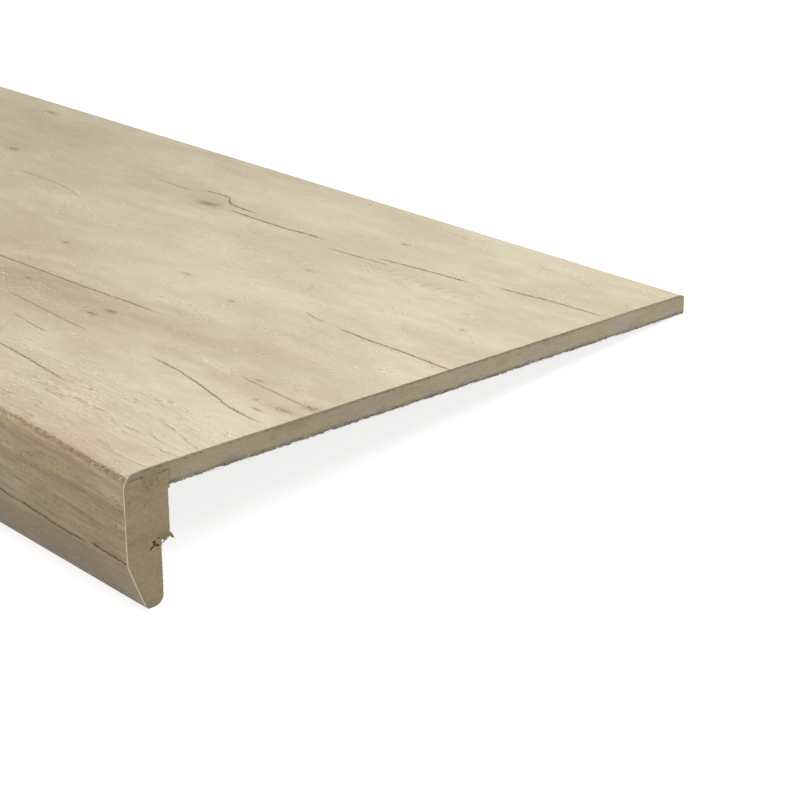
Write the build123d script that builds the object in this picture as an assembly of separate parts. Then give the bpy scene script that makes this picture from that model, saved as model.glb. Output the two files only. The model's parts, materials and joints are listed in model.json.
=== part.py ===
from build123d import *
import os
from math import asin, atan2, cos, degrees, hypot, radians, tan

# A laminate stair tread: a thin fibreboard panel with a deep nosing block glued
# under its front edge, and one decor laminate bent over both. Millimetres.
# It is drawn level in its own section, Y from the front face to the back edge
# and Z down from the walking surface, and then set down as it lies on a floor.

# Overall sizes
length = 1000.0
depth = 300.0
nose_height = 55.0

# Boards and sheet
laminate_thickness = 0.6
core_thickness = 8.6

# The face that the laminate is bent over
nose_radius = 6.0
front_height = 35.6
crease_radius = 8.0
bevel_angle = radians(20.8)
ease_run = 2.7
ease_drop = 1.1
ease_radius = 2.0

# The rebate under the panel's front, where the block is glued in
tongue_thickness = 2.9
rebate_depth = 20.0
glue_gap = 0.2

# The block's back, milled flat under its shoulder and again behind its lip for the riser board
shoulder_drop = 1.2
block_thickness = 19.2
lip_thickness = 15.2
step_drop = 19.5
step_slope = radians(30.0)
tip_back_radius = 4.3
tip_front_radius = 2.5

panel_bottom = laminate_thickness + core_thickness
block_top = laminate_thickness + tongue_thickness
shoulder_back = rebate_depth - glue_gap
shoulder_bottom = panel_bottom + shoulder_drop
step_top = panel_bottom + step_drop


def face_line(inset):
    """The tread's face from the back edge over the nose to the tip, some distance under its surface."""
    ease_angle = atan2(ease_drop, ease_run)
    tip_setback = (nose_height - front_height) * tan(bevel_angle)
    corners = [
        (depth, -ease_drop - inset / cos(ease_angle)),
        (depth - ease_run - inset * tan(ease_angle / 2), -inset),
        (inset, -inset),
        (inset, -front_height + inset * tan(bevel_angle / 2)),
        (tip_setback + inset / cos(bevel_angle), -nose_height),
    ]
    radii = [ease_radius - inset, nose_radius - inset, crease_radius - inset]
    return FilletPolyline(*corners, radius=radii)


def section_below(inset, tip_rounding=0):
    """Everything behind and below the face line, as one flat face."""
    with BuildSketch(Plane.YZ) as sketch:
        with BuildLine():
            face = face_line(inset)
            Polyline(face @ 1, (depth, -nose_height), face @ 0)
        make_face()
        if tip_rounding:
            lowest_two = sketch.vertices().sort_by(Axis.Y)[:2]
            fillet(lowest_two.sort_by(Axis.X)[0], tip_rounding)
    return sketch.sketch


def panel_section():
    """The panel's board, with its front thinned to a tongue over the block."""
    with BuildSketch(Plane.YZ) as sketch:
        with BuildLine():
            Polyline(
                (0, 0),
                (depth, 0),
                (depth, -panel_bottom),
                (rebate_depth, -panel_bottom),
                (rebate_depth, -block_top),
                (0, -block_top),
                close=True,
            )
        make_face()
    return sketch.sketch & section_below(laminate_thickness)


def block_section():
    """The nosing block, stepped back at the rear and rounded at its tip."""
    step_rise = (block_thickness - lip_thickness) * tan(step_slope)
    with BuildSketch(Plane.YZ) as sketch:
        with BuildLine():
            Polyline(
                (0, -block_top),
                (shoulder_back, -block_top),
                (shoulder_back, -shoulder_bottom),
                (block_thickness, -shoulder_bottom),
                (block_thickness, -step_top),
                (lip_thickness, -step_top - step_rise),
                (lip_thickness, -nose_height),
                (0, -nose_height),
                close=True,
            )
        make_face()
        lowest_two = sketch.vertices().sort_by(Axis.Y)[:2]
        fillet(lowest_two.sort_by(Axis.X)[-1], tip_back_radius)
    return sketch.sketch & section_below(laminate_thickness) & section_below(0, tip_front_radius)


def laminate_section():
    """The sheet itself: what lies between the face and the boards under it."""
    return section_below(0, tip_front_radius) - section_below(laminate_thickness)


def lean_at_rest():
    """The angle by which the tread leans back when it lies on its tip and its back edge."""
    run = depth - (lip_thickness - tip_back_radius)
    rise = (nose_height - tip_back_radius) - panel_bottom
    return atan2(rise, run) + asin(tip_back_radius / hypot(run, rise))


lean = lean_at_rest()
sections = {
    "decor_laminate": laminate_section(),
    "tread_panel": panel_section(),
    "nosing_block": block_section(),
}
level_pieces = {name: extrude(section, amount=length) for name, section in sections.items()}

# Lean the tread back, and put the middle of its footprint at the origin
leaning = {name: Rot(X=-degrees(lean)) * piece for name, piece in level_pieces.items()}
whole_box = Compound(list(leaning.values())).bounding_box()
footprint = Pos(
    -whole_box.center().X,
    -whole_box.center().Y,
    -whole_box.min.Z,
)

os.makedirs("parts", exist_ok=True)
for name, piece in leaning.items():
    export_step(footprint * piece, f"parts/{name}.step")
    print(name, "volume", round(piece.volume / 1000, 1), "cm3")
print("leans back by", round(degrees(lean), 3), "degrees")
print("section's front top corner lies at Y", round(-whole_box.center().Y, 3), "Z", round(-whole_box.min.Z, 3))
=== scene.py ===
# %% [markdown]
# # A laminate stair tread
# The tread is stock for laying over an old stair step. It has three physical pieces: a thin
# fibreboard panel, a deep nosing block glued under the panel's front, and one printed oak
# laminate bent over both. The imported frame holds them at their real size, and this file
# builds the finished surface of each one where the frame says. A millimetre is written as
# `mm`, so `9.2 * mm` is a length in metres, which is Blender's unit.

import cmath
import json
import math

import bmesh
import bpy
from mathutils import Matrix, Vector, kdtree, noise
from mathutils.geometry import delaunay_2d_cdt


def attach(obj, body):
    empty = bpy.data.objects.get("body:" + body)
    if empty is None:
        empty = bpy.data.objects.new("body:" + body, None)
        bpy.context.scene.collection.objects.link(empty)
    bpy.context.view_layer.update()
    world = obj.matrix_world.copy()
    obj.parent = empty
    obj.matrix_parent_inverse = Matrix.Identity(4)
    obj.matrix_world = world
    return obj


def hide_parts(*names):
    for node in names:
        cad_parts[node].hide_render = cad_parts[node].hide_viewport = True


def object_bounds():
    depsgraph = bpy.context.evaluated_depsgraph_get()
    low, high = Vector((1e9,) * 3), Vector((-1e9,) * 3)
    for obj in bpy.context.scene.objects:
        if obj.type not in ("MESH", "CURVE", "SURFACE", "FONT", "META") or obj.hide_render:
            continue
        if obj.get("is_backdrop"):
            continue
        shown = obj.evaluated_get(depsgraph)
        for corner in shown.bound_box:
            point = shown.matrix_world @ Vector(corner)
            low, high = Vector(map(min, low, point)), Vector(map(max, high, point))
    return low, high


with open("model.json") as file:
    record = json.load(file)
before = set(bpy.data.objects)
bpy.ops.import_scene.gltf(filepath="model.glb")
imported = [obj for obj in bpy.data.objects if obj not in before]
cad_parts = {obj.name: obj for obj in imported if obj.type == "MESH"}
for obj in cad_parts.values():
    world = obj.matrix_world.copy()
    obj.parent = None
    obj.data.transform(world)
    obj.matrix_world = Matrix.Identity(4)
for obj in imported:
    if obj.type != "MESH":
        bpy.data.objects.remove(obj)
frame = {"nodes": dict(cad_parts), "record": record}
cad_low, cad_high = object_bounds()
mm = 0.001


def put_in_scene(name, data):
    """A new object in the scene that holds the given data."""
    holder = bpy.data.objects.new(name, data)
    bpy.context.scene.collection.objects.link(holder)
    return holder


print("the CAD box runs from", [round(c, 4) for c in cad_low], "to", [round(c, 4) for c in cad_high])

# %% [markdown]
# ## The tread's own frame
# Lying on a floor, the tread leans back on its nose and its back edge, which makes its
# sizes awkward to write. So every shape below is drawn level, in the tread's own frame:
# X is 0 on the near sawn end and falls towards the far end, Y is 0 on the front face, and Z
# is 0 on the walking surface. One matrix then lays it down. The walking surface's mount in
# the record says which way that surface faces and where one point of it is.

# %% Find how the tread lies
top_mount = next(mount for mount in frame["record"]["mounts"] if mount["name"] == "walking_surface")
top_normal = Vector(top_mount["axis"])
lean = math.atan2(top_normal.y, top_normal.z)
mount_behind_front = 150 * mm
lay_down = Matrix.Rotation(-lean, 4, "X")
front_corner = Vector(top_mount["pos_m"]) - lay_down @ Vector((0, mount_behind_front, 0))
front_corner.x = cad_high.x
tread_to_row = Matrix.Translation(front_corner) @ lay_down
length = cad_high.x - cad_low.x
print("the tread leans back by", round(math.degrees(lean), 2), "degrees and is", round(length, 3), "m long")

# %% [markdown]
# ## The camera
# The photograph looks down over the near corner of the nosing. A long lens keeps the edges
# nearly parallel, and its focal length follows from how fast they still draw together. The
# camera is set in the tread's own frame, because there the photograph's horizon is level.

# %% Set up the camera
photo_width_pixels = 800
focal_length_pixels = 2011.3
heading = math.radians(47.938)
pitch = math.radians(21.414)
eye = Vector((542.86, -359.29, 280.79)) * mm

level_ahead = Vector((-math.sin(heading), math.cos(heading), 0))
ahead = level_ahead * math.cos(pitch) - Vector((0, 0, math.sin(pitch)))
right = Vector((math.cos(heading), math.sin(heading), 0))
up = right.cross(ahead)
camera_pose = Matrix((right, up, -ahead)).transposed().to_4x4()
camera_pose.translation = eye

camera_data = bpy.data.cameras.new("photo_camera")
camera_data.sensor_width = 36
camera_data.lens = focal_length_pixels / photo_width_pixels * camera_data.sensor_width
camera_data.clip_start = 10 * mm
camera = put_in_scene("photo_camera", camera_data)
camera.matrix_world = tread_to_row @ camera_pose
bpy.context.scene.camera = camera
bpy.context.scene.view_settings.view_transform = "Standard"
print("the lens is", round(camera_data.lens, 1), "mm")

# %% [markdown]
# ## A bench for building node trees
# Shaders and Geometry Nodes are both trees of nodes. The bench below adds a node, writes or
# links its inputs and lays the nodes out in rows, so that each recipe further down reads as
# the steps of the finish and not as bookkeeping.


# %% A bench for node trees
class Bench:
    """Adds nodes to one tree and joins them as they are made."""

    nodes_in_a_row = 12
    column_width = 220
    row_height = 300
    seed_step = (1.0, 1.7, 0.6)

    def __init__(self, tree):
        self.tree = tree
        self.made = 0

    def add(self, kind, inputs=None, **settings):
        """Adds one node. Inputs are found by name or number and take a value or an output."""
        node = self.tree.nodes.new(kind)
        row, column = divmod(self.made, self.nodes_in_a_row)
        node.location = (self.column_width * column, -self.row_height * row)
        self.made += 1
        for name, value in settings.items():
            setattr(node, name, value)
        for key, value in (inputs or {}).items():
            self.feed(node.inputs[key], value)
        return node

    def feed(self, socket, value):
        """Links an output to a socket, or writes a plain value on it."""
        if isinstance(value, bpy.types.NodeSocket):
            self.tree.links.new(value, socket)
        else:
            socket.default_value = value

    def maths(self, operation, *values, clamp=False):
        """One sum on numbers."""
        inputs = dict(enumerate(values))
        return self.add("ShaderNodeMath", inputs, operation=operation, use_clamp=clamp).outputs[0]

    def times(self, value, factor, clamp=False):
        """A number times another."""
        return self.maths("MULTIPLY", value, factor, clamp=clamp)

    def scaled(self, value, factor, start):
        """A number times a factor, plus a start."""
        return self.maths("MULTIPLY_ADD", value, factor, start)

    def plus(self, value, other):
        """Two numbers added."""
        return self.maths("ADD", value, other)

    def minus(self, value, other):
        """One number less another."""
        return self.maths("SUBTRACT", value, other)

    def larger(self, value, other):
        """The larger of two numbers."""
        return self.maths("MAXIMUM", value, other)

    def split(self, place):
        """The three parts of a place."""
        return self.add("ShaderNodeSeparateXYZ", {0: place}).outputs

    def joined(self, *parts):
        """A place from its parts. A part that is left out is 0."""
        return self.add("ShaderNodeCombineXYZ", dict(enumerate(parts))).outputs[0]

    def vector(self, operation, *values):
        """One sum on vectors. A length or distance comes out as a number."""
        node = self.add("ShaderNodeVectorMath", dict(enumerate(values)), operation=operation)
        gives_number = operation in ("LENGTH", "DISTANCE", "DOT_PRODUCT")
        return node.outputs["Value" if gives_number else "Vector"]

    def rise(self, value, low, high):
        """0 at low, 1 at high and an easy slope between. A low above high makes it fall."""
        inputs = {"Value": value, "From Min": low, "From Max": high}
        return self.add("ShaderNodeMapRange", inputs, interpolation_type="SMOOTHSTEP").outputs[0]

    def noise(self, place, size, detail=2.0, roughness=0.5, seed=0.0):
        """Soft noise whose blotches are about the given size along each axis. A seed moves it."""
        spread = self.vector("DIVIDE", place, size)
        moved = self.vector("ADD", spread, [seed * part for part in self.seed_step])
        inputs = {"Vector": moved, "Scale": 1.0, "Detail": detail, "Roughness": roughness}
        return self.add("ShaderNodeTexNoise", inputs).outputs["Fac"]

    def blend(self, factor, base, top, kind="MIX"):
        """Lays one colour over another."""
        node = self.add("ShaderNodeMix", {0: factor, 6: base, 7: top}, data_type="RGBA", blend_type=kind)
        return node.outputs[2]

    def coat(self, base, mask, amount, shade, kind="MIX"):
        """Lays a colour over another where a mask says, at a share of its full strength."""
        return self.blend(self.times(mask, amount), base, shade, kind)

    def tinted(self, base, mask, amount, tint):
        """Multiplies a colour by a tint where a mask says."""
        return self.coat(base, mask, amount, (*tint, 1.0), "MULTIPLY")

    def grey(self, level):
        """A grey of the given level."""
        return self.add("ShaderNodeCombineColor", {0: level, 1: level, 2: level}).outputs[0]

    def within(self, value, low, high, edge):
        """1 between two values, with soft edges."""
        starts = self.rise(value, low - edge, low + edge)
        return self.times(starts, self.rise(value, high + edge, high - edge))

    def curve(self, value, start, end, places):
        """A Float Curve through places from (0, y) to (1, y), read between two values."""
        inputs = {"Value": value, "From Min": start, "From Max": end}
        share = self.add("ShaderNodeMapRange", inputs).outputs[0]
        node = self.add("ShaderNodeFloatCurve", {"Value": share})
        points = node.mapping.curves[0].points
        points[0].location = places[0]
        points[1].location = places[-1]
        for spot in places[1:-1]:
            points.new(*spot)
        node.mapping.update()
        return node.outputs[0]

    def use(self, group, **inputs):
        """Places a node group. An underscore in a name stands for a space."""
        named = {name.replace("_", " "): value for name, value in inputs.items()}
        return self.add("ShaderNodeGroup", named, node_tree=group).outputs


def start_group(name, takes, gives):
    """A new shader node group, with its named sockets."""
    group = bpy.data.node_groups.new(name, "ShaderNodeTree")
    for label, default in takes.items():
        kind = "NodeSocketVector" if isinstance(default, tuple) else "NodeSocketFloat"
        socket = group.interface.new_socket(label, in_out="INPUT", socket_type=kind)
        socket.default_value = default
    for label in gives:
        group.interface.new_socket(label, in_out="OUTPUT", socket_type="NodeSocketFloat")
    bench = Bench(group)
    return group, bench, bench.add("NodeGroupInput").outputs, bench.add("NodeGroupOutput").inputs


def empty_bench(owner):
    """A bench on the emptied node tree of a material or a world."""
    owner.use_nodes = True
    owner.node_tree.nodes.clear()
    return Bench(owner.node_tree)


def start_material(name, **constants):
    """A new material and its Principled shader, with plain constants written on the shader."""
    material = bpy.data.materials.new(name)
    bench = empty_bench(material)
    named = {label.replace("_", " "): value for label, value in constants.items()}
    shader = bench.add("ShaderNodeBsdfPrincipled", named)
    bench.add("ShaderNodeOutputMaterial", {"Surface": shader.outputs[0]})
    return material, bench, shader.inputs


def paint(red, green, blue):
    """A colour as a paint chart writes it, from 0 to 255, turned into the light that Blender mixes."""
    light = []
    for part in (red, green, blue):
        share = part / 255
        light.append(share / 12.92 if share <= 0.04045 else ((share + 0.055) / 1.055) ** 2.4)
    return (*light, 1.0)


print("the bench is ready")

# %% [markdown]
# ## The studio
# One large soft lamp hangs over the near end and a little behind the tread, and the rest is
# even light from all around. A white page behind the object comes from colour, not from
# more light: the floor and the surroundings are white only to rays that come from the
# camera or from a reflection, and the floor still darkens where the tread shades it.

# %% Make the studio
white = (1.0, 1.0, 1.0, 1.0)
ambient_level = 0.25
page_level = 1.0
floor_grey = (0.42, 0.42, 0.42, 1.0)
floor_page = (0.5, 0.5, 0.5, 1.0)
floor_glow = 0.84
floor_half_width = 8.0
key_watts = 22.5
key_colour = (1.0, 0.985, 0.955)
key_size = 1.3
key_place = Vector((1.15, 0.20, 1.40))
key_aim = Vector((0.40, 0.0, 0.0))


def lit_or_seen(bench, lit, seen):
    """One shader for scattered light, and another for the camera, a reflection or a clear body."""
    rays = bench.add("ShaderNodeLightPath").outputs
    direct = bench.larger(rays["Is Camera Ray"], rays["Is Glossy Ray"])
    direct = bench.larger(direct, rays["Is Transmission Ray"])
    return bench.add("ShaderNodeMixShader", {0: direct, 1: lit.outputs[0], 2: seen.outputs[0]}).outputs[0]


def make_surroundings():
    """Even light from all around, seen as a white page."""
    world = bpy.data.worlds.new("studio")
    bench = empty_bench(world)
    lit = bench.add("ShaderNodeBackground", {"Color": white, "Strength": ambient_level})
    page = bench.add("ShaderNodeBackground", {"Color": white, "Strength": page_level})
    bench.add("ShaderNodeOutputWorld", {"Surface": lit_or_seen(bench, lit, page)})
    bpy.context.scene.world = world


def make_floor():
    """A plain pale floor that the tread's shadow still darkens."""
    mesh = bpy.data.meshes.new("studio_floor")
    half = floor_half_width
    corners = [(-half, -half, 0), (half, -half, 0), (half, half, 0), (-half, half, 0)]
    mesh.from_pydata(corners, [], [(0, 1, 2, 3)])
    material = bpy.data.materials.new("studio_floor")
    bench = empty_bench(material)
    card = bench.add("ShaderNodeBsdfDiffuse", {"Color": floor_grey})
    page = bench.add("ShaderNodeBsdfDiffuse", {"Color": floor_page})
    glow = bench.add("ShaderNodeEmission", {"Color": white, "Strength": floor_glow})
    seen = bench.add("ShaderNodeAddShader", {0: page.outputs[0], 1: glow.outputs[0]})
    bench.add("ShaderNodeOutputMaterial", {"Surface": lit_or_seen(bench, card, seen)})
    mesh.materials.append(material)
    put_in_scene("studio_floor", mesh)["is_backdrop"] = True


def make_key_lamp():
    """One large soft lamp over the near end."""
    lamp = bpy.data.lights.new("key_lamp", "AREA")
    lamp.shape = "DISK"
    lamp.size = key_size
    lamp.energy = key_watts
    lamp.color = key_colour
    holder = put_in_scene("key_lamp", lamp)
    holder.location = key_place
    holder.rotation_mode = "QUATERNION"
    holder.rotation_quaternion = (key_aim - key_place).to_track_quat("-Z", "Y")


make_surroundings()
make_floor()
make_key_lamp()
print("the lamp hangs", round(key_place.z, 2), "m over the floor")

# %% [markdown]
# ## The section, drawn with complex numbers
# Seen from its sawn end, the tread is a drawing in two directions: back from the front face
# and down from the walking surface. A complex number holds both at once, `back + down * 1j`,
# and dividing one direction by another gives the turn between them. So one short function
# draws any line of straight runs and round bends, and another cuts a line in two where it
# crosses something. The pieces then share the same points along their joints.


# %% Draw rounded lines and cut them
def spaced(start, end, step):
    """Points from start up to, but without, end, no further than step apart."""
    touching = 1e-6
    count = math.ceil(abs(end - start) / step - touching)
    return [start + (end - start) * number / count for number in range(count)]


def bent_line(corners, radii, step, bend_step):
    """Straight runs through the corners, joined by round bends of the given radii."""
    points = []
    here = corners[0]
    for before, corner, after, radius in zip(corners, corners[1:], corners[2:], radii):
        coming = (corner - before) / abs(corner - before)
        going = (after - corner) / abs(after - corner)
        turn = cmath.phase(going / coming)
        bend_start = corner - coming * radius * math.tan(abs(turn) / 2)
        points += spaced(here, bend_start, step)
        to_centre = coming * 1j * math.copysign(radius, turn)
        centre = bend_start + to_centre
        count = math.ceil(radius * abs(turn) / bend_step)
        points += [centre - to_centre * cmath.rect(1, turn * number / count) for number in range(count)]
        here = centre - to_centre * cmath.rect(1, turn)
    return points + spaced(here, corners[-1], step) + [corners[-1]]


def cut_line(points, side):
    """Cuts a line where side(point) passes through zero, and keeps the cut point in both parts."""
    for number, (before, after) in enumerate(zip(points, points[1:])):
        if (side(before) <= 0) != (side(after) <= 0):
            share = side(before) / (side(before) - side(after))
            cut = before + (after - before) * share
            return points[:number + 1] + [cut], [cut] + points[number + 1:]
    raise ValueError("the line is not crossed")


def on_tread(distance, point):
    """A section point, some distance from the near end, in the tread's own frame."""
    return Vector((-distance, point.real, -point.imag))


print("a quarter bend has", len(bent_line([1j, 0, 1], [0.5], 1, 0.1)), "points")

# %% [markdown]
# ## Sizes that the frame already holds
# The frame's solids know how deep the tread is, how far the nosing hangs down and where its
# back was milled, so those sizes are read from them, in the tread's own frame. The rounding
# of the nose, the crease and the tip are named again here, because a mesh of triangles
# doesn't say what radius it was made with.

# %% Read the sizes and name the rest
row_to_tread = tread_to_row.inverted()


def level_box(node):
    """Lowest and highest corner of a CAD piece in the tread's own frame."""
    points = [row_to_tread @ vertex.co for vertex in frame["nodes"][node].data.vertices]
    return Vector(map(min, zip(*points))), Vector(map(max, zip(*points)))


def mount_behind(name):
    """How far behind the front face a mount lies."""
    place = next(mount["pos_m"] for mount in frame["record"]["mounts"] if mount["name"] == name)
    return (row_to_tread @ Vector(place)).y


panel_low, panel_high = level_box("tread_panel")
block_low, block_high = level_box("nosing_block")
glue_gap = 0.2 * mm
left_open = 0.03 * mm
depth = panel_high.y
panel_bottom = -panel_low.z
nose_height = -block_low.z
joint_depth = -block_high.z
rebate_depth = block_high.y + glue_gap
block_thickness = mount_behind("nosing_back_face")
lip_thickness = mount_behind("riser_seat_face")

laminate_thickness = 0.6 * mm
nose_radius = 6 * mm
front_height = 35.6 * mm
crease_radius = 8 * mm
bevel_angle = math.radians(20.8)
ease_run = 2.7 * mm
ease_drop = 1.1 * mm
ease_radius = 2 * mm
tip_front_radius = 2.5 * mm
tip_back_radius = 4.3 * mm
shoulder_bottom = 10.4 * mm
step_top = 28.7 * mm
step_slope = math.radians(30)
for label, size in {"depth": depth, "nose height": nose_height, "panel bottom": panel_bottom}.items():
    print(label, round(size / mm, 2), "mm")

# %% [markdown]
# ## The three sections
# All three pieces share one face line: from the back edge over the eased arris, along the
# walking surface, round the nose, down the front and over the crease to the tip. The sheet
# lies between that line and the same line drawn a sheet's thickness deeper. That deeper
# line is cut where the glue joint starts: above the cut it is the panel's, below it is the
# block's. The boards' hidden sides are closed with straight runs.

# %% Draw the three sections
run_step = 0.7 * mm
bend_step = 0.35 * mm
free_side_step = 0.5 * mm
ease_angle = math.atan2(ease_drop, ease_run)
tip_setback = (nose_height - front_height) * math.tan(bevel_angle)


def face_line(inset):
    """The tread's face from its back edge over the nose to the tip, some way under the surface."""
    corners = [
        complex(depth, ease_drop + inset / math.cos(ease_angle)),
        complex(depth - ease_run - inset * math.tan(ease_angle / 2), inset),
        complex(inset, inset),
        complex(inset, front_height - inset * math.tan(bevel_angle / 2)),
        complex(tip_setback + inset / math.cos(bevel_angle), nose_height),
    ]
    radii = [ease_radius - inset, nose_radius - inset, crease_radius - inset]
    if inset == 0:
        corners.append(complex(lip_thickness - tip_back_radius, nose_height))
        radii.append(tip_front_radius)
    return bent_line(corners, radii, run_step, bend_step)


def behind_glue_face(point):
    """How far a point near the tip lies behind the sheet's glued side."""
    glued_setback = tip_setback + laminate_thickness / math.cos(bevel_angle)
    return point.real - glued_setback - (point.imag - nose_height) * math.tan(bevel_angle)


outer_line = face_line(0)
bevel_start = next(number for number, point in enumerate(outer_line) if point.imag > front_height)
bevel_outside, tip_underside = cut_line(outer_line[bevel_start:], behind_glue_face)
sheet_tip = bevel_outside[-1]
sheet_outside = outer_line[:bevel_start] + bevel_outside
glue_line = [point for point in face_line(laminate_thickness) if point.imag < sheet_tip.imag] + [sheet_tip]
panel_top, block_front = cut_line(glue_line, lambda point: point.imag - joint_depth)

panel_below_corners = [
    panel_top[-1],
    complex(rebate_depth, joint_depth),
    complex(rebate_depth, panel_bottom),
    complex(depth, panel_bottom),
    panel_top[0],
]
panel_below = bent_line(panel_below_corners, [0, 0, 0], free_side_step, bend_step)
panel_outline = panel_top[:-1] + panel_below[:-1]

step_bottom = step_top + (block_thickness - lip_thickness) * math.tan(step_slope)
block_behind_corners = [
    tip_underside[-1],
    complex(lip_thickness, nose_height),
    complex(lip_thickness, step_bottom),
    complex(block_thickness, step_top),
    complex(block_thickness, shoulder_bottom),
    complex(rebate_depth - left_open, shoulder_bottom),
    complex(rebate_depth - left_open, joint_depth),
    block_front[0],
]
block_behind = bent_line(block_behind_corners, [tip_back_radius, 0, 0, 0, 0, 0], free_side_step, bend_step)
block_outline = block_front[:-1] + tip_underside[:-1] + block_behind[:-1]
print("points round the sections: panel", len(panel_outline), "and block", len(block_outline))

# %% [markdown]
# ## Effects that several finishes share
# Wood prints, sawn boards and milled boards share a few effects: streaks that follow a
# direction, soft clouds of tone at a chosen place, fine flecks of fibre and a little dust.
# Each effect is a node group, built once. It takes a place in millimetres and gives back a
# number between 0 and 1, and the material decides what that number does to the colour.


# %% Make the shared effects
origin = (0.0, 0.0, 0.0)


def make_streaks():
    """Noise drawn out along X and narrow across it, as grain, sanding and cutter marks are."""
    takes = {"Place": origin, "Long": 50.0, "Wide": 2.0, "Detail": 2.0, "Roughness": 0.55, "Seed": 0.0}
    group, bench, taken, given = start_group("streaks", takes, ["Value"])
    size = bench.joined(taken["Long"], taken["Wide"], taken["Wide"])
    spread = bench.vector("DIVIDE", taken["Place"], size)
    moved = bench.vector("ADD", spread, bench.joined(taken["Seed"], taken["Seed"], taken["Seed"]))
    inputs = {"Vector": moved, "Scale": 1.0, "Detail": taken["Detail"], "Roughness": taken["Roughness"]}
    bench.feed(given["Value"], bench.add("ShaderNodeTexNoise", inputs).outputs["Fac"])
    return group


def offset_from(bench, taken, reach):
    """How far the place lies from the centre, as a share of the reach along each axis."""
    away = bench.vector("SUBTRACT", taken["Place"], taken["Centre"])
    return bench.vector("DIVIDE", away, taken[reach])


def make_cloud():
    """A soft patch of tone round a chosen centre, with an uneven edge."""
    takes = {"Place": origin, "Centre": origin, "Reach": (50.0, 20.0, 20.0)}
    group, bench, taken, given = start_group("soft_cloud", takes, ["Mask"])
    ragged = bench.noise(taken["Place"], (26.0, 9.0, 9.0), detail=2.0)
    distance = bench.vector("LENGTH", offset_from(bench, taken, "Reach"))
    distance = bench.plus(distance, bench.times(ragged, 0.7))
    bench.feed(given["Mask"], bench.rise(distance, 1.45, 0.35))
    return group


def make_fleck():
    """Short fibres and specks, pale and dark, as a sawn or sanded fibreboard shows."""
    takes = {"Place": origin, "Size": 0.5}
    group, bench, taken, given = start_group("fibre_fleck", takes, ["Fleck", "Dark specks"])
    scaled = bench.vector("DIVIDE", taken["Place"], taken["Size"])
    fine = bench.noise(scaled, (1.6, 1.0, 0.8), detail=3.0, roughness=0.65)
    coarse = bench.noise(scaled, (4.5, 3.0, 2.4), detail=2.0, seed=3.1)
    both = bench.scaled(fine, 0.65, bench.times(coarse, 0.35))
    bench.feed(given["Fleck"], both)
    specks = bench.noise(scaled, (2.1, 1.7, 1.5), detail=1.0, seed=7.7)
    bench.feed(given["Dark specks"], bench.rise(specks, 0.66, 0.76))
    return group


def make_dust():
    """A thin uneven film of saw dust and rubbing."""
    takes = {"Place": origin, "Amount": 0.3}
    group, bench, taken, given = start_group("saw_dust", takes, ["Mask"])
    drift = bench.noise(taken["Place"], (38.0, 30.0, 30.0), detail=4.0, roughness=0.6, seed=1.3)
    grit = bench.noise(taken["Place"], (1.3, 1.1, 1.1), detail=2.0, roughness=0.7, seed=5.9)
    lying = bench.times(bench.rise(drift, 0.42, 0.72), bench.rise(grit, 0.45, 0.75))
    bench.feed(given["Mask"], bench.times(lying, taken["Amount"]))
    return group


streaks = make_streaks()
soft_cloud = make_cloud()
fibre_fleck = make_fleck()
saw_dust = make_dust()
print("shared effects:", ", ".join(group.name for group in (streaks, soft_cloud, fibre_fleck, saw_dust)))

# %% [markdown]
# ## The marks in the printed oak
# The laminate's print is a photograph of weathered oak: long drying cracks, knots with a
# dark heart, and grain that flows round them. A crack could be painted on an image, but
# drawn with nodes it stays sharp at any size. A Float Curve gives the crack's centre line,
# how far across the sheet it lies at each place along it, and the group below turns the
# distance from that line into a dark mark with thin ends.


# %% Make the drying cracks
def make_shake():
    """How far a crack wanders off its line, how it swells, and where it is broken."""
    gives = ["Wander", "Swell", "Broken"]
    group, bench, taken, given = start_group("crack_shake", {"Place": origin}, gives)
    slow = bench.noise(taken["Place"], (9.0, 30.0, 30.0), detail=2.0)
    jagged = bench.noise(taken["Place"], (1.7, 30.0, 30.0), detail=2.0, roughness=0.7, seed=3.3)
    bench.feed(given["Wander"], bench.scaled(slow, 1.3, bench.scaled(jagged, 1.3, -1.3)))
    swell = bench.noise(taken["Place"], (3.6, 60.0, 60.0), detail=3.0, roughness=0.65, seed=4.4)
    bench.feed(given["Swell"], bench.scaled(swell, 1.8, 0.1))
    broken = bench.noise(taken["Place"], (3.4, 4.0, 4.0), detail=2.0, seed=9.2)
    bench.feed(given["Broken"], bench.scaled(broken, 0.9, 0.5))
    return group


def make_crack():
    """A dark drying crack that thins out at both ends. Off is how far a place lies from its centre."""
    takes = {"Along": 0.0, "Off": 0.0, "Start": 0.0, "End": 100.0}
    takes |= {"Width": 1.0, "Swell": 1.0, "Broken": 1.0}
    group, bench, taken, given = start_group("drying_crack", takes, ["Mark"])
    distance = bench.maths("ABSOLUTE", taken["Off"])
    fade = bench.times(bench.minus(taken["End"], taken["Start"]), 0.18)
    start_rise = bench.rise(taken["Along"], taken["Start"], bench.plus(taken["Start"], fade))
    end_rise = bench.rise(taken["Along"], taken["End"], bench.minus(taken["End"], fade))
    taper = bench.times(start_rise, end_rise)
    thickness = bench.times(taken["Width"], taken["Swell"])
    thickness = bench.times(thickness, bench.scaled(taper, 0.55, 0.25))
    core = bench.rise(distance, thickness, bench.times(thickness, 0.2))
    stain = bench.rise(distance, bench.times(thickness, 3.0), thickness)
    mark = bench.larger(core, bench.times(stain, 0.14))
    strength = bench.times(taper, taken["Broken"])
    bench.feed(given["Mark"], bench.times(mark, strength, clamp=True))
    return group


crack_shake = make_shake()
drying_crack = make_crack()
print("a crack is made of the groups", crack_shake.name, "and", drying_crack.name)


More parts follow.
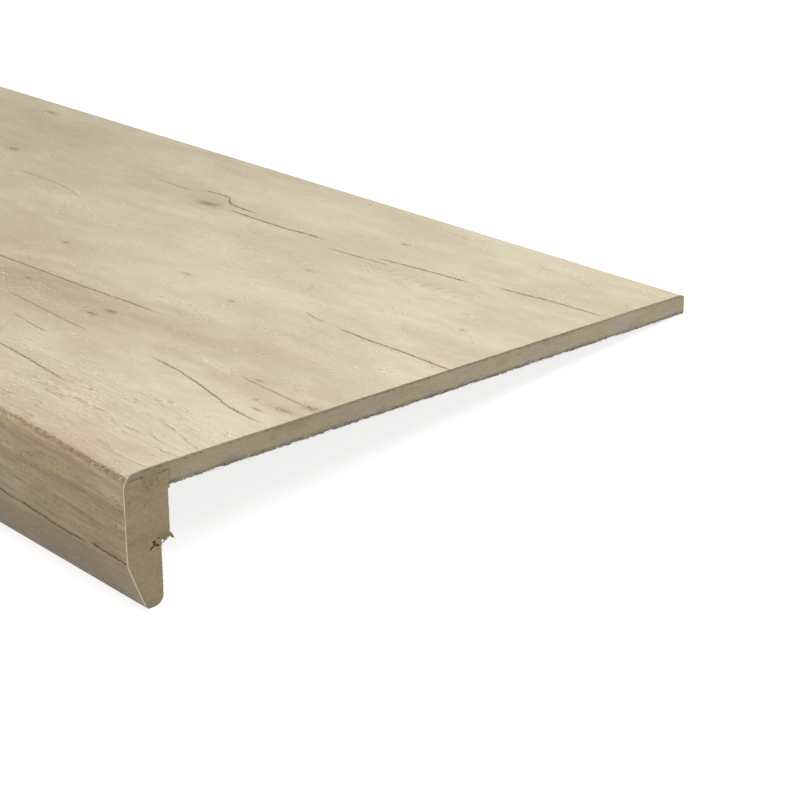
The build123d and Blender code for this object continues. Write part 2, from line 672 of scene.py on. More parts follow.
# %% Make the knots and the flowing grain
def make_knot():
    """A small knot: its dark, crumbled heart, and the shade and faint rings round it."""
    takes = {"Place": origin, "Centre": origin, "Size": (6.0, 4.0, 4.0)}
    group, bench, taken, given = start_group("knot", takes, ["Heart", "Shade"])
    offset = offset_from(bench, taken, "Size")
    crumple = bench.noise(offset, (1.1, 0.45, 0.45), detail=3.0, roughness=0.7, seed=2.2)
    away = bench.plus(bench.vector("LENGTH", offset), bench.scaled(crumple, 1.5, -0.75))
    crumbled = bench.noise(taken["Place"], (1.3, 0.6, 0.6), detail=2.0, roughness=0.7, seed=1.9)
    heart = bench.times(bench.rise(away, 1.1, 0.3), bench.rise(crumbled, 0.36, 0.6))
    bench.feed(given["Heart"], heart)
    ripple = bench.scaled(bench.maths("SINE", bench.times(away, 8.0)), 0.3, 0.7)
    bench.feed(given["Shade"], bench.times(bench.rise(away, 2.8, 0.6), ripple))
    return group


def make_flow():
    """Thin ragged grain lines that flow side by side, come and go, and have a pale rim above."""
    takes = {"Place": origin, "Spacing": 5.0, "Waver": 6.0}
    group, bench, taken, given = start_group("flowing_grain", takes, ["Lines", "Rims"])
    waver = bench.noise(taken["Place"], (60.0, 20.0, 20.0), detail=2.0)
    crowding = bench.noise(taken["Place"], (34.0, 7.0, 7.0), detail=1.0, seed=5.5)
    shake = bench.noise(taken["Place"], (3.6, 2.4, 2.4), detail=3.0, roughness=0.6, seed=6.3)
    pushed = bench.scaled(waver, taken["Waver"], bench.split(taken["Place"])[1])
    pushed = bench.scaled(shake, 2.4, bench.scaled(crowding, 12.0, pushed))
    there = bench.noise(taken["Place"], (15.0, 3.2, 3.2), detail=3.0, roughness=0.7, seed=8.8)
    present = bench.rise(there, 0.4, 0.62)
    for label, shift, half_width in (("Lines", 0.0, 0.55), ("Rims", -0.9, 0.7)):
        share = bench.maths("DIVIDE", bench.plus(pushed, shift), taken["Spacing"])
        from_line = bench.maths("ABSOLUTE", bench.minus(bench.maths("FRACT", share), 0.5))
        line = bench.rise(bench.times(from_line, taken["Spacing"]), half_width, 0.1)
        bench.feed(given[label], bench.times(line, present))
    return group


knot = make_knot()
flowing_grain = make_flow()
print("the knot's group has", len(knot.nodes), "nodes and the grain's", len(flowing_grain.nodes))

# %% Make the flecks
lean_of_flecks = math.radians(-20)
lip_beside_pit = (0.4, 0.55, 0.0)


def where_flecks_crowd(bench, place, parts):
    """Loose patches of flecks, with more of them by the nose and in one speckled zone."""
    by_nose = bench.times(bench.rise(parts[1], 75.0, 40.0), bench.rise(parts[1], -34.0, -26.0))
    more_in_front = bench.scaled(bench.rise(parts[1], 1.0, -4.0), 0.02, 0.05)
    speckled = bench.times(bench.rise(parts[0], 165.0, 205.0), bench.within(parts[1], 68.0, 98.0, 9.0))
    patches = bench.noise(place, (22.0, 9.0, 9.0), detail=3.0, roughness=0.65, seed=18.0)
    patches = bench.scaled(speckled, 0.13, bench.scaled(by_nose, more_in_front, patches))
    return bench.scaled(bench.rise(patches, 0.49, 0.66), 0.93, 0.07)


def make_flecks():
    """Short slanting pits with a pale lip, in loose patches. They lean the other way on the front."""
    group, bench, taken, given = start_group("ray_flecks", {"Place": origin}, ["Pale", "Dark", "Relief"])
    parts = bench.split(taken["Place"])
    folded = bench.joined(parts[0], bench.maths("ABSOLUTE", parts[1]))
    spread = bench.vector("DIVIDE", folded, (6.0, 3.5, 1.0))
    push = bench.add("ShaderNodeTexNoise", {"Vector": spread, "Scale": 1.0, "Detail": 2.0}).outputs["Color"]
    push = bench.vector("MULTIPLY", bench.vector("SUBTRACT", push, (0.5, 0.5, 0.5)), (6.0, 6.0, 0.0))
    inputs = {"Vector": bench.vector("ADD", folded, push), "Rotation": (0.0, 0.0, lean_of_flecks)}
    leaning = bench.add("ShaderNodeMapping", inputs).outputs[0]
    beside = bench.vector("ADD", leaning, lip_beside_pit)
    pits = bench.noise(leaning, (2.0, 1.35, 1.0), detail=3.0, roughness=0.65, seed=4.0)
    lips = bench.noise(beside, (2.0, 1.35, 1.0), detail=3.0, roughness=0.65, seed=4.0)
    slope = bench.minus(pits, lips)
    amount = where_flecks_crowd(bench, taken["Place"], parts)
    bench.feed(given["Pale"], bench.times(bench.rise(slope, 0.05, 0.16), amount))
    bench.feed(given["Dark"], bench.times(bench.rise(slope, -0.06, -0.18), amount))
    bench.feed(given["Relief"], bench.times(pits, amount))
    return group


ray_flecks = make_flecks()
print("the flecks lean by", round(math.degrees(lean_of_flecks)), "degrees")

# %% [markdown]
# ## Where the print's marks lie
# A place on the sheet is how far it is from the near sawn end, and how far behind the nose
# it would lie if the sheet were rolled out flat. The front face then has negative places,
# and the pattern runs over the nose without a break, as it does on the real sheet. The
# marks near the camera follow the photograph. The half of the tread that the photograph
# cuts off has cracks and knots of the same kinds, at places made up for it.

# %% List the marks in millimetres
cracks = {
    "long": (0.64, [(116, 113.6), (153, 110.8), (203, 108), (252, 106), (310, 104.5), (352, 105)]),
    "bowed": (0.6, [(0, 66.4), (20, 66.7), (38, 70), (57, 74.2), (75, 76.7), (96, 77.8)]),
    "by the nose": (0.58, [(86, 36.2), (112, 38.7), (127, 40), (145, 40.8), (190, 42.5)]),
    "over the knot": (0.8, [(224, 238.4), (247, 239.3), (254, 242.6), (262, 246.4), (284, 243.5)]),
    "beside the knot": (0.96, [(166, 235.6), (187, 233.8), (200, 232.5), (213, 232.3), (244, 232.5)]),
    "short": (0.48, [(118, 231), (143, 228.3), (159, 227)]),
    "slanting": (0.72, [(72, 240.5), (87, 239.2), (103, 237.5), (132, 233.6)]),
    "back corner": (0.72, [(0, 250.9), (13, 249.7), (30, 248.7), (47, 246.3), (64, 244.5)]),
    "middle": (0.68, [(-9, 156.6), (27, 157), (47, 156.3), (72, 157.3)]),
    "middle's end": (0.3, [(78, 157), (85, 158), (92, 160)]),
    "by the small knot": (0.38, [(8, 89.4), (30, 89.9), (52, 91.4)]),
    "faint": (0.45, [(284, 239.5), (298, 240.2), (314, 240)]),
    "faint, far": (0.28, [(306, 188), (318, 191.5), (332, 194.5), (352, 196), (384, 195)]),
    "faint, low": (0.36, [(132, 76.2), (170, 78), (208, 80)]),
    "faint, lower": (0.28, [(144, 62.6), (160, 64), (178, 66)]),
    "front": (0.61, [(-6, -32.2), (10, -31.7), (24, -30.9)]),
    "front, next": (0.68, [(23, -31.8), (36, -32.3), (48, -31.8), (60, -31), (74, -30.6)]),
    "front, further on": (0.68, [(64, -30.9), (78, -30.5), (90, -30.2), (160, -31)]),
    "far, first": (0.8, [(470, 62), (540, 66), (610, 63), (690, 65)]),
    "far, second": (0.72, [(560, 176), (610, 179), (650, 177)]),
    "far, third": (0.88, [(655, 233), (705, 229), (760, 231), (790, 228)]),
    "far, fourth": (0.64, [(745, 120), (820, 124), (900, 121), (1000, 123)]),
    "far, fifth": (0.72, [(830, 262), (900, 258), (960, 261), (1000, 259)]),
    "far front": (0.64, [(420, -20), (500, -22), (580, -19.5)]),
    "far nose": (0.56, [(850, 18), (910, 20), (980, 17.5)]),
}
knots = {
    "main": ((257, 231, 0), (10.5, 4.4, 4.4)),
    "by the near end": ((5, 89.3, 0), (5.0, 2.0, 2.0)),
    "under it": ((10, 80.6, 0), (5.0, 1.4, 1.4)),
    "beside it": ((18, 73.6, 0), (3.2, 0.8, 0.8)),
    "pin": ((150, 98, 0), (4.6, 1.8, 1.8)),
    "under the pin": ((153, 90.3, 0), (4.2, 1.2, 1.2)),
    "middle": ((249, 140, 0), (2.5, 1.2, 1.2)),
    "middle, near": ((170, 154, 0), (2.1, 0.9, 0.9)),
    "middle, small": ((126, 145, 0), (1.4, 0.8, 0.8)),
    "short stroke": ((41, 93.4, 0), (3.0, 0.9, 0.9)),
    "in the speckled zone": ((214, 97, 0), (3.6, 1.1, 1.1)),
    "back": ((138, 258, 0), (2.4, 0.9, 0.9)),
    "off the chatter": ((137, 198, 0), (2.2, 0.9, 0.9)),
    "far left": ((421, 218, 0), (5.0, 2.4, 2.4)),
    "far back": ((481, 282, 0), (6.0, 1.6, 1.6)),
    "unseen, main": ((668, 96, 0), (9.0, 4.2, 4.2)),
    "unseen, small": ((905, 205, 0), (6.0, 3.0, 3.0)),
    "unseen, front": ((640, -14, 0), (4.5, 2.2, 2.2)),
    "unseen, dot": ((760, 170, 0), (3.0, 1.4, 1.4)),
}
print(len(cracks), "cracks and", len(knots), "knots and dots")

# %% [markdown]
# ## The printed oak face
# Real decor paper is printed in three or four inks, pressed under a clear resin, and
# textured by the press plate. So the colour is built up the same way: a mid tone, broad
# pale and dark clouds, zones of warmer tone, streaks and flecks, and last the knots and
# cracks. A few tones are painted light and shade, not print: a darker far end, a paler
# corner at the nose's near end, and darker bands where the sheet bends over the nose and
# at the crease. The press plate's texture is a bump that follows the flecks, and the resin
# gives a soft satin shine that is duller under dust.


# %% Draw the cracks and the old saw marks
past_the_end = 2.0


def draw_crack(bench, along, wandering, shake, width, line):
    """One crack from a few points of its centre line."""
    start = line[0][0]
    end = line[-1][0]
    lowest = min(across for distance, across in line)
    height = max(across for distance, across in line) - lowest
    places = [((distance - start) / (end - start), (across - lowest) / height) for distance, across in line]
    centre = bench.scaled(bench.curve(along, start, end, places), height, lowest)
    inputs = {"Along": along, "Off": bench.minus(wandering, centre), "Width": width}
    inputs |= {"Swell": shake["Swell"], "Broken": shake["Broken"]}
    inputs |= {"Start": start - past_the_end, "End": end + past_the_end}
    return bench.use(drying_crack, **inputs)["Mark"]


def draw_all_cracks(bench, place):
    """Every crack of the print as one mark."""
    parts = bench.split(place)
    shake = bench.use(crack_shake, Place=place)
    wandering = bench.plus(parts[1], shake["Wander"])
    mark = 0.0
    for width, line in cracks.values():
        mark = bench.larger(mark, draw_crack(bench, parts[0], wandering, shake, width, line))
    return mark


tick_spacing = 6.8
tick_slant = 0.35
tick_wobble = 7.0
ticks_start = (52.0, 68.0)
ticks_end = (128.0, 104.0)
ticks_front = (222.0, 225.5)
ticks_back = (231.5, 227.0)


def draw_chatter(bench, place):
    """Short ticks across the grain, side by side, as a saw leaves on old timber."""
    parts = bench.split(place)
    wobble = bench.noise(place, (7.0, 3.0, 3.0), detail=3.0, roughness=0.6, seed=3.7)
    slanted = bench.scaled(wobble, tick_wobble, bench.scaled(parts[1], tick_slant, parts[0]))
    share = bench.maths("DIVIDE", slanted, tick_spacing)
    from_tick = bench.maths("ABSOLUTE", bench.minus(bench.maths("FRACT", share), 0.5))
    along = bench.times(bench.rise(parts[0], *ticks_start), bench.rise(parts[0], *ticks_end))
    uneven = bench.scaled(wobble, tick_wobble, parts[1])
    across = bench.times(bench.rise(uneven, *ticks_front), bench.rise(uneven, *ticks_back))
    return bench.times(bench.rise(from_tick, 0.24, 0.04), bench.times(along, across))


def shade_by(bench, colour, value, strength):
    """Brightens a colour where a noise is above its middle, and darkens it where it is below."""
    level = bench.scaled(bench.minus(value, 0.5), strength, 1.0)
    return bench.blend(1.0, colour, bench.grey(level), "MULTIPLY")


print("the saw's ticks are", tick_spacing, "mm apart")

# %% [markdown]
# ### Tones that change over the sheet
# Each zone below is a soft cloud with its own centre, reach, strength and tint. Most are the
# print's own tone, but two are painted light: the zone towards the far end is painted shade
# where the lamp's light falls off, and the paler zone at the nose's near corner is a
# painted pool of light. Over the nose and down the front the tone steps more quickly, so
# there a Float Curve holds how bright the colour is at each place across the sheet: partly
# the print's own tone and partly painted shade where the sheet bends down over the nose.

# %% List the zones of tone
print_shades = {
    "below the long crack": ((200, 82, 0), (150, 46, 46), 1.0, (0.78, 0.71, 0.665)),
    "along the long crack": ((130, 111, 0), (230, 20, 20), 0.9, (0.85, 0.805, 0.77)),
    "beside the small knot": ((34, 88, 0), (72, 22, 22), 1.0, (0.84, 0.785, 0.75)),
    "speckled": ((222, 92, 0), (50, 16, 16), 0.7, (0.86, 0.83, 0.78)),
    "behind the long crack": ((280, 140, 0), (100, 34, 34), 1.0, (0.87, 0.82, 0.77)),
    # painted shade: the print darkens towards the far end, where the lamp's light falls off
    "painted shade, far end": ((430, 245, 0), (210, 100, 100), 1.0, (0.85, 0.795, 0.765)),
    "round the main knot": ((262, 234, 0), (36, 15, 15), 0.5, (0.86, 0.84, 0.81)),
    "near back corner": ((18, 240, 0), (95, 70, 70), 1.0, (0.93, 0.9, 0.865)),
    "behind the nose": ((142, 34, 0), (72, 22, 22), 0.9, (0.89, 0.84, 0.79)),
    # painted light: a pale pool of light painted on the print by the nose at the near end
    "painted light, nose corner": ((22, 44, 0), (70, 30, 30), 0.7, (1.06, 1.08, 1.1)),
    "unseen, first": ((650, 120, 0), (120, 50, 50), 0.8, (0.88, 0.84, 0.8)),
    "unseen, second": ((900, 60, 0), (90, 30, 30), 0.7, (0.9, 0.86, 0.82)),
}
# The dips to 0.86, 0.75 and 0.7 by the nose are painted shade where the sheet bends down.
front_tones = [(-55, 1.06), (-44, 0.98), (-34, 0.96), (-31, 0.93), (-28, 0.97), (-20, 0.96), (-17.5, 1.05)]
front_tones += [(-14.5, 1.02), (-12, 0.95), (-9.2, 1.2), (-5, 1.12), (-3, 1.02), (-1.5, 0.86)]
front_tones += [(0.5, 0.75), (6, 0.7)]
brightest_front_tone = 2.0
print(len(print_shades), "zones of tone, and", len(front_tones), "tones across the nose and front")


# %% Draw the print's ground
def draw_ground(bench, place, parts):
    """The print's ground: broad soft clouds, a fine mottle and patches of warmer and cooler tone."""
    sway = bench.noise(place, (120.0, 60.0, 60.0), detail=1.0, seed=12.0)
    flowing = bench.joined(parts[0], bench.scaled(sway, 12.0, parts[1]))
    broad = bench.use(streaks, Place=flowing, Long=110.0, Wide=32.0, Detail=2.0, Seed=1.0)["Value"]
    clouds = bench.use(streaks, Place=flowing, Long=26.0, Wide=9.5, Detail=4.0, Seed=2.0)["Value"]
    fine = {"Long": 6.0, "Wide": 3.2, "Detail": 5.0, "Roughness": 0.7, "Seed": 3.0}
    mottle = bench.use(streaks, Place=place, **fine)["Value"]
    colour = bench.blend(bench.rise(broad, 0.36, 0.64), paint(214, 201, 174), paint(225, 215, 189))
    cloudier_near_by = bench.scaled(bench.rise(parts[0], 150.0, 70.0), 0.2, 0.16)
    colour = shade_by(bench, colour, clouds, cloudier_near_by)
    colour = shade_by(bench, colour, mottle, 0.24)
    tint = bench.noise(place, (38.0, 13.0, 13.0), detail=3.0, seed=21.0)
    colour = bench.tinted(colour, bench.rise(tint, 0.5, 0.7), 1.0, (0.98, 1.0, 0.965))
    colour = bench.tinted(colour, bench.rise(tint, 0.48, 0.3), 1.0, (1.0, 0.975, 0.965))
    for centre, reach, amount, shade in print_shades.values():
        mask = bench.use(soft_cloud, Place=place, Centre=centre, Reach=reach)["Mask"]
        colour = bench.tinted(colour, mask, amount, shade)
    return colour, mottle


print("the ground is mixed from the groups", streaks.name, "and", soft_cloud.name)

# %% Draw the nose and the front
grain_drift = 2.3
drift_ends = 85.0
print_edge = (2.1, 1.2)
rubbed_band = (-0.4, 1.5)
warm_band = (1.0, 17.0)
streaks_on_top = (66.0, 36.0)
streaks_on_bevel = (-44.0, -32.0)
# painted shade: the colour darkens from the crease on down the bevel, which faces the floor
painted_crease_shade = (-32.5, -35.0)
down_the_bevel = (-40.0, -54.0)


def draw_streaks(bench, colour, parts, level, lying, veins):
    """Streaks and wavy grain lines near the nose, and the warmer band along it."""
    near_nose = bench.times(bench.rise(level, *streaks_on_top), bench.rise(level, *streaks_on_bevel))
    fewer_far_off = bench.scaled(bench.rise(parts[0], 260.0, 60.0), 0.4, 0.35)
    fewer_on_front = bench.scaled(bench.rise(level, 2.0, 10.0), 0.5, 0.35)
    some = bench.times(near_nose, bench.times(fewer_far_off, fewer_on_front))
    lines = bench.use(flowing_grain, Place=lying, Spacing=6.5, Waver=9.0)
    colour = shade_by(bench, colour, veins, bench.times(near_nose, 0.38))
    colour = bench.coat(colour, bench.times(lines["Rims"], some), 0.8, paint(240, 229, 203))
    colour = bench.coat(colour, bench.times(lines["Lines"], some), 0.95, paint(156, 134, 102))
    return bench.tinted(colour, bench.within(level, *warm_band, 6.0), 0.8, (0.9, 0.845, 0.82))


def tone_front(bench, colour, place, parts, lying):
    """The redder front print: hue patches, tone per place with painted shade on bend and crease, the bevel.
    """
    colour = bench.blend(1.0, colour, (1.2, 1.08, 0.97, 1.0), "MULTIPLY")
    hue = bench.noise(lying, (15.0, 6.0, 6.0), detail=3.0, seed=27.0)
    colour = bench.tinted(colour, bench.rise(hue, 0.5, 0.62), 1.0, (0.985, 0.95, 0.99))
    colour = bench.tinted(colour, bench.rise(hue, 0.5, 0.38), 1.0, (1.0, 0.985, 0.9))
    lowest, highest = front_tones[0][0], front_tones[-1][0]
    reach = highest - lowest
    wobble = bench.noise(place, (26.0, 8.0, 8.0), detail=3.0, seed=14.0)
    wavy = bench.scaled(bench.minus(wobble, 0.5), 2.0, parts[1])
    places = [((across - lowest) / reach, tone / brightest_front_tone) for across, tone in front_tones]
    tone = bench.times(bench.curve(wavy, lowest, highest, places), brightest_front_tone)
    colour = bench.blend(1.0, colour, bench.grey(tone), "MULTIPLY")
    # painted shade from the crease down the bevel
    colour = bench.tinted(colour, bench.rise(parts[1], *painted_crease_shade), 1.0, (0.77, 0.745, 0.735))
    return bench.tinted(colour, bench.rise(parts[1], *down_the_bevel), 1.0, (1.1, 1.2, 1.38))


def draw_front(bench, colour, place, parts):
    """Streaky print round the nose and down the front, with painted shade and a rubbed line on the bend."""
    level = bench.minus(parts[1], bench.times(bench.rise(parts[0], 0.0, drift_ends), grain_drift))
    lying = bench.joined(parts[0], level)
    long_and_narrow = {"Long": 22.0, "Wide": 1.9, "Detail": 4.0, "Roughness": 0.62, "Seed": 31.0}
    veins = bench.use(streaks, Place=lying, **long_and_narrow)["Value"]
    colour = draw_streaks(bench, colour, parts, level, lying, veins)
    front = tone_front(bench, shade_by(bench, colour, veins, 0.75), place, parts, lying)

    frayed = bench.noise(place, (9.0, 2.0, 2.0), detail=4.0, roughness=0.7, seed=17.0)
    edge = bench.scaled(bench.minus(frayed, 0.5), 1.7, level)
    colour = bench.blend(bench.rise(edge, *print_edge), colour, front)
    grit = bench.noise(place, (2.6, 0.55, 0.55), detail=3.0, roughness=0.72, seed=15.0)
    rubbed = bench.within(edge, *rubbed_band, 0.6)
    dark_grit = bench.times(rubbed, bench.rise(grit, 0.49, 0.6))
    pale_grit = bench.times(rubbed, bench.rise(grit, 0.43, 0.33))
    colour = bench.coat(colour, rubbed, 0.25, paint(130, 110, 76))
    colour = bench.coat(colour, dark_grit, 0.7, paint(104, 86, 58))
    return bench.coat(colour, pale_grit, 0.55, paint(228, 208, 182))


print("the grain drifts by", grain_drift, "mm across the nose")


# %% Finish the printed oak face
def draw_knots(bench, colour, place):
    """Every knot of the print: first the shade round it, then its dark heart."""
    heart = 0.0
    shade = 0.0
    for centre, size in knots.values():
        found = bench.use(knot, Place=place, Centre=centre, Size=size)
        heart = bench.larger(heart, found["Heart"])
        shade = bench.larger(shade, found["Shade"])
    colour = bench.coat(colour, shade, 0.36, paint(166, 147, 116))
    return bench.coat(colour, heart, 0.9, paint(110, 90, 60))


def chip_edge(bench, colour, place, parts):
    """Pale chips along both sawn edges of the print."""
    from_end = bench.maths("MINIMUM", parts[0], bench.minus(length / mm, parts[0]))
    grit = bench.noise(place, (0.9, 0.9, 0.9), detail=2.0, seed=33.0)
    chipped = bench.times(bench.rise(from_end, 1.0, 0.3), bench.rise(grit, 0.48, 0.6))
    return bench.coat(colour, chipped, 0.6, paint(236, 226, 202))


def make_oak_face():
    """The printed and pressed side of the laminate."""
    material, bench, shader = start_material("oak_decor_face", IOR=1.45, Specular_IOR_Level=0.2)
    rolled_out = bench.add("ShaderNodeUVMap", uv_map="Sheet").outputs[0]
    place = bench.vector("MULTIPLY", rolled_out, (1 / mm, 1 / mm, 0.0))
    parts = bench.split(place)
    colour, mottle = draw_ground(bench, place, parts)
    colour = draw_front(bench, colour, place, parts)
    flecks = bench.use(ray_flecks, Place=place)
    colour = bench.coat(colour, flecks["Dark"], 0.6, paint(160, 140, 106))
    colour = bench.coat(colour, flecks["Pale"], 0.6, paint(242, 231, 204))
    colour = bench.coat(colour, draw_chatter(bench, place), 0.2, paint(140, 122, 94))
    colour = draw_knots(bench, colour, place)
    colour = bench.coat(colour, draw_all_cracks(bench, place), 1.0, paint(102, 76, 28))
    colour = chip_edge(bench, colour, place, parts)

    dust = bench.use(saw_dust, Place=place, Amount=0.3)["Mask"]
    bench.feed(shader["Base Color"], bench.blend(dust, colour, paint(222, 212, 190)))
    satin = bench.scaled(mottle, 0.16, 0.44)
    bench.feed(shader["Roughness"], bench.plus(satin, bench.times(dust, 0.4)))
    pressed = bench.scaled(flecks["Relief"], 0.8, bench.times(mottle, 0.4))
    relief = bench.add("ShaderNodeBump", {"Strength": 0.8, "Distance": 0.5 * mm, "Height": pressed})
    bench.feed(shader["Normal"], relief.outputs[0])
    return material


oak_face = make_oak_face()
print("the oak face has", len(oak_face.node_tree.nodes), "nodes, and", len(cracks), "cracks in its print")

# %% [markdown]
# ## Sawn and milled fibreboard
# The boards have no grain, but their sawn ends are not plain either. A fibreboard is
# pressed from fibres that lie flat, densest at its faces, so its end shows faint level
# layers, darker towards the faces, with pale and dark flecks of fibre. A blunt blade
# burnishes some stretches and tears others. The geometry says where fibre is torn, with a
# `broken` value on its points, and the finish darkens there. In the open glue joint and the
# crumbled hole that darkening is partly painted shade. All four finishes share one
# recipe. The two sawn ends add coats of their own, each from its own function.


# %% Start the boards' finishes
def tread_place(bench):
    """A place in the tread's own frame, in millimetres."""
    where = bench.add("ShaderNodeTexCoord").outputs["Object"]
    inputs = {"Vector": where, "Location": front_corner, "Rotation": (-lean, 0.0, 0.0)}
    inputs["Scale"] = (mm, mm, mm)
    return bench.add("ShaderNodeMapping", inputs, vector_type="TEXTURE").outputs[0]


def turned(bench, place):
    """The same place with the tread's depth as its first part, for streaks that run front to back."""
    parts = bench.split(place)
    return bench.joined(parts[1], parts[2], parts[0])


def make_fibreboard(name, tones, torn, streak_size, bump, own_coats=None):
    """Fibreboard with level streaks, flecks, torn fibre and dust. A sawn end adds coats of its own."""
    material, bench, shader = start_material(name, IOR=1.4, Specular_IOR_Level=0.2)
    place = tread_place(bench)
    run = turned(bench, place) if own_coats else place
    long, wide = streak_size
    layers = bench.use(streaks, Place=run, Long=long, Wide=wide, Detail=4.0, Seed=5.0)["Value"]
    drift = bench.noise(place, (40.0, 22.0, 9.0), detail=3.0, seed=6.0)
    flecks = bench.use(fibre_fleck, Place=place, Size=0.55)
    colour, dark, pale = tones
    coats = [
        (layers, 0.48, 0.78, 0.4, dark),
        (layers, 0.48, 0.24, 0.4, pale),
        (drift, 0.52, 0.74, 0.55, dark),
        (drift, 0.45, 0.28, 0.45, pale),
        (flecks["Fleck"], 0.52, 0.66, 0.45, pale),
        (flecks["Fleck"], 0.46, 0.34, 0.45, dark),
    ]
    for value, none, full, amount, shade in coats:
        colour = bench.coat(colour, bench.rise(value, none, full), amount, shade)
    if own_coats:
        colour = own_coats(bench, colour, place, flecks)
    colour = bench.coat(colour, flecks["Dark specks"], 0.5, torn)
    # Torn fibre darkens the colour; in the open joint and the hole this is also painted shade.
    broken = bench.add("ShaderNodeAttribute", attribute_name="broken").outputs["Fac"]
    colour = bench.coat(colour, bench.maths("MINIMUM", broken, 1.0), 0.85, torn)
    dust = bench.use(saw_dust, Place=place, Amount=0.3)["Mask"]
    bench.feed(shader["Base Color"], bench.blend(dust, colour, paint(206, 194, 168)))
    bench.feed(shader["Roughness"], bench.scaled(layers, -0.16, 0.92))
    height = bench.scaled(flecks["Fleck"], 0.7, bench.times(layers, 0.3))
    relief = bench.add("ShaderNodeBump", {"Strength": 0.6, "Distance": bump, "Height": height})
    bench.feed(shader["Normal"], relief.outputs[0])
    return material


print("on the sawn ends the streaks run from front to back")

# %% Draw the coats of the sawn ends
glue_line_reach = (2.6, 19.4)
glued_well = (9.8, 14.8)
glued_well_edge = 1.5
# painted shade down the narrow gap beside the panel's tongue
shaded_gap_across = (19.6, 20.3)
shaded_gap_down = (-8.9, -3.4)
# A dark spot at the foot of that gap.
dark_spot_across = (19.9, 21.2)
dark_spot_down = (-8.9, -7.9)


def joint_line(bench, colour, place):
    """The dark, broken glue line between tongue and block, with painted shade in the gap and a dark spot.
    """
    parts = bench.split(place)
    wobble = bench.noise(place, (50.0, 2.2, 50.0), detail=2.0, seed=7.1)
    middle = bench.scaled(wobble, -0.5, 0.25 - joint_depth / mm)
    off = bench.maths("ABSOLUTE", bench.minus(parts[2], middle))
    dashes = bench.rise(bench.noise(place, (50.0, 1.7, 50.0), detail=2.0, seed=3.3), 0.4, 0.56)
    level = bench.times(bench.rise(off, 0.36, 0.06), bench.scaled(dashes, 0.7, 0.3))
    paler_in_well = bench.scaled(bench.within(parts[1], *glued_well, glued_well_edge), -0.8, 1.0)
    level = bench.times(bench.times(level, paler_in_well), bench.within(parts[1], *glue_line_reach, 0.4))
    # painted shade: a faint dark line down the narrow gap beside the tongue
    in_shaded_gap = bench.within(parts[1], *shaded_gap_across, 0.15)
    shaded_gap = bench.times(in_shaded_gap, bench.within(parts[2], *shaded_gap_down, 0.3))
    in_dark_spot = bench.within(parts[1], *dark_spot_across, 0.25)
    drop = bench.times(in_dark_spot, bench.within(parts[2], *dark_spot_down, 0.25))
    line = bench.larger(level, bench.larger(bench.times(shaded_gap, 0.25), drop))
    return bench.coat(colour, line, 0.65, paint(86, 70, 48))


def panel_coats(bench, colour, place, flecks):
    """Darker in dashes under the top face, grey and torn near the lower arris, redder at the nose."""
    parts = bench.split(place)
    dashes = bench.noise(place, (9.0, 3.0, 0.8), detail=3.0, roughness=0.7, seed=9.0)
    under_face = bench.times(bench.rise(parts[2], -1.7, -0.8), bench.rise(dashes, 0.46, 0.66))
    colour = bench.coat(colour, under_face, 0.8, paint(104, 88, 64))
    patches = bench.noise(place, (9.0, 3.4, 1.6), detail=4.0, roughness=0.7, seed=10.0)
    near_arris = bench.times(bench.rise(parts[2], -6.9, -8.8), bench.rise(patches, 0.36, 0.6))
    colour = bench.coat(colour, near_arris, 0.85, paint(108, 113, 100))
    mauve = bench.rise(bench.noise(place, (30.0, 24.0, 12.0), detail=2.0, seed=23.0), 0.48, 0.6)
    by_nose = bench.rise(parts[1], 34.0, 12.0)
    pale_stretch = bench.within(parts[1], 252.0, 280.0, 8.0)
    towards_back = bench.rise(parts[1], 70.0, 200.0)
    colour = bench.tinted(colour, mauve, 1.0, (0.985, 0.96, 1.07))
    colour = bench.tinted(colour, by_nose, 1.0, (0.86, 0.85, 0.84))
    colour = bench.coat(colour, pale_stretch, 0.2, paint(198, 188, 168))
    colour = bench.tinted(colour, towards_back, 0.8, (1.12, 1.15, 1.19))
    return joint_line(bench, colour, place)


def block_coats(bench, colour, place, flecks):
    """A smear of dark glue and fibre under the joint, and the joint's own line."""
    under_joint = {"Place": place, "Centre": (0.0, 11.0, -6.5), "Reach": (90.0, 7.5, 4.0)}
    mask = bench.use(soft_cloud, **under_joint)["Mask"]
    smear = bench.times(mask, bench.rise(flecks["Fleck"], 0.52, 0.44))
    colour = bench.coat(colour, smear, 0.6, paint(112, 94, 66))
    return joint_line(bench, colour, place)


print("the glue line shows from", glue_line_reach[0], "to", glue_line_reach[1], "mm behind the front")


# %% Finish the boards and the sheet's core
def make_core():
    """The sheet's cut edge and glued side: pale paper and resin on a browner core, painted highlight at
    nose.
    """
    material, bench, shader = start_material("laminate_core", IOR=1.5, Specular_IOR_Level=0.3)
    place = tread_place(bench)
    grain = bench.use(streaks, Place=place, Long=3.0, Wide=0.3, Detail=3.0, Seed=8.0)["Value"]
    # The paler colour is partly a painted highlight: near white, for the glint on the cut edge by the nose.
    colour = bench.blend(bench.rise(grain, 0.38, 0.66), paint(246, 236, 211), paint(222, 208, 178))
    facing = bench.add("ShaderNodeAttribute", attribute_name="facing").outputs["Fac"]
    colour = bench.coat(colour, bench.rise(facing, 0.6, 0.3), 0.8, paint(150, 133, 103))
    # Behind the nose the edge is darker, so the painted highlight stays by the nose.
    back = bench.split(place)[1]
    darker_behind_nose = bench.times(bench.rise(back, 6.0, 16.0), bench.rise(grain, 0.34, 0.6))
    colour = bench.coat(colour, darker_behind_nose, 0.8, paint(158, 141, 113))
    bench.feed(shader["Base Color"], colour)
    bench.feed(shader["Roughness"], bench.scaled(grain, 0.2, 0.55))
    relief = bench.add("ShaderNodeBump", {"Strength": 0.4, "Distance": 0.06 * mm, "Height": grain})
    bench.feed(shader["Normal"], relief.outputs[0])
    return material


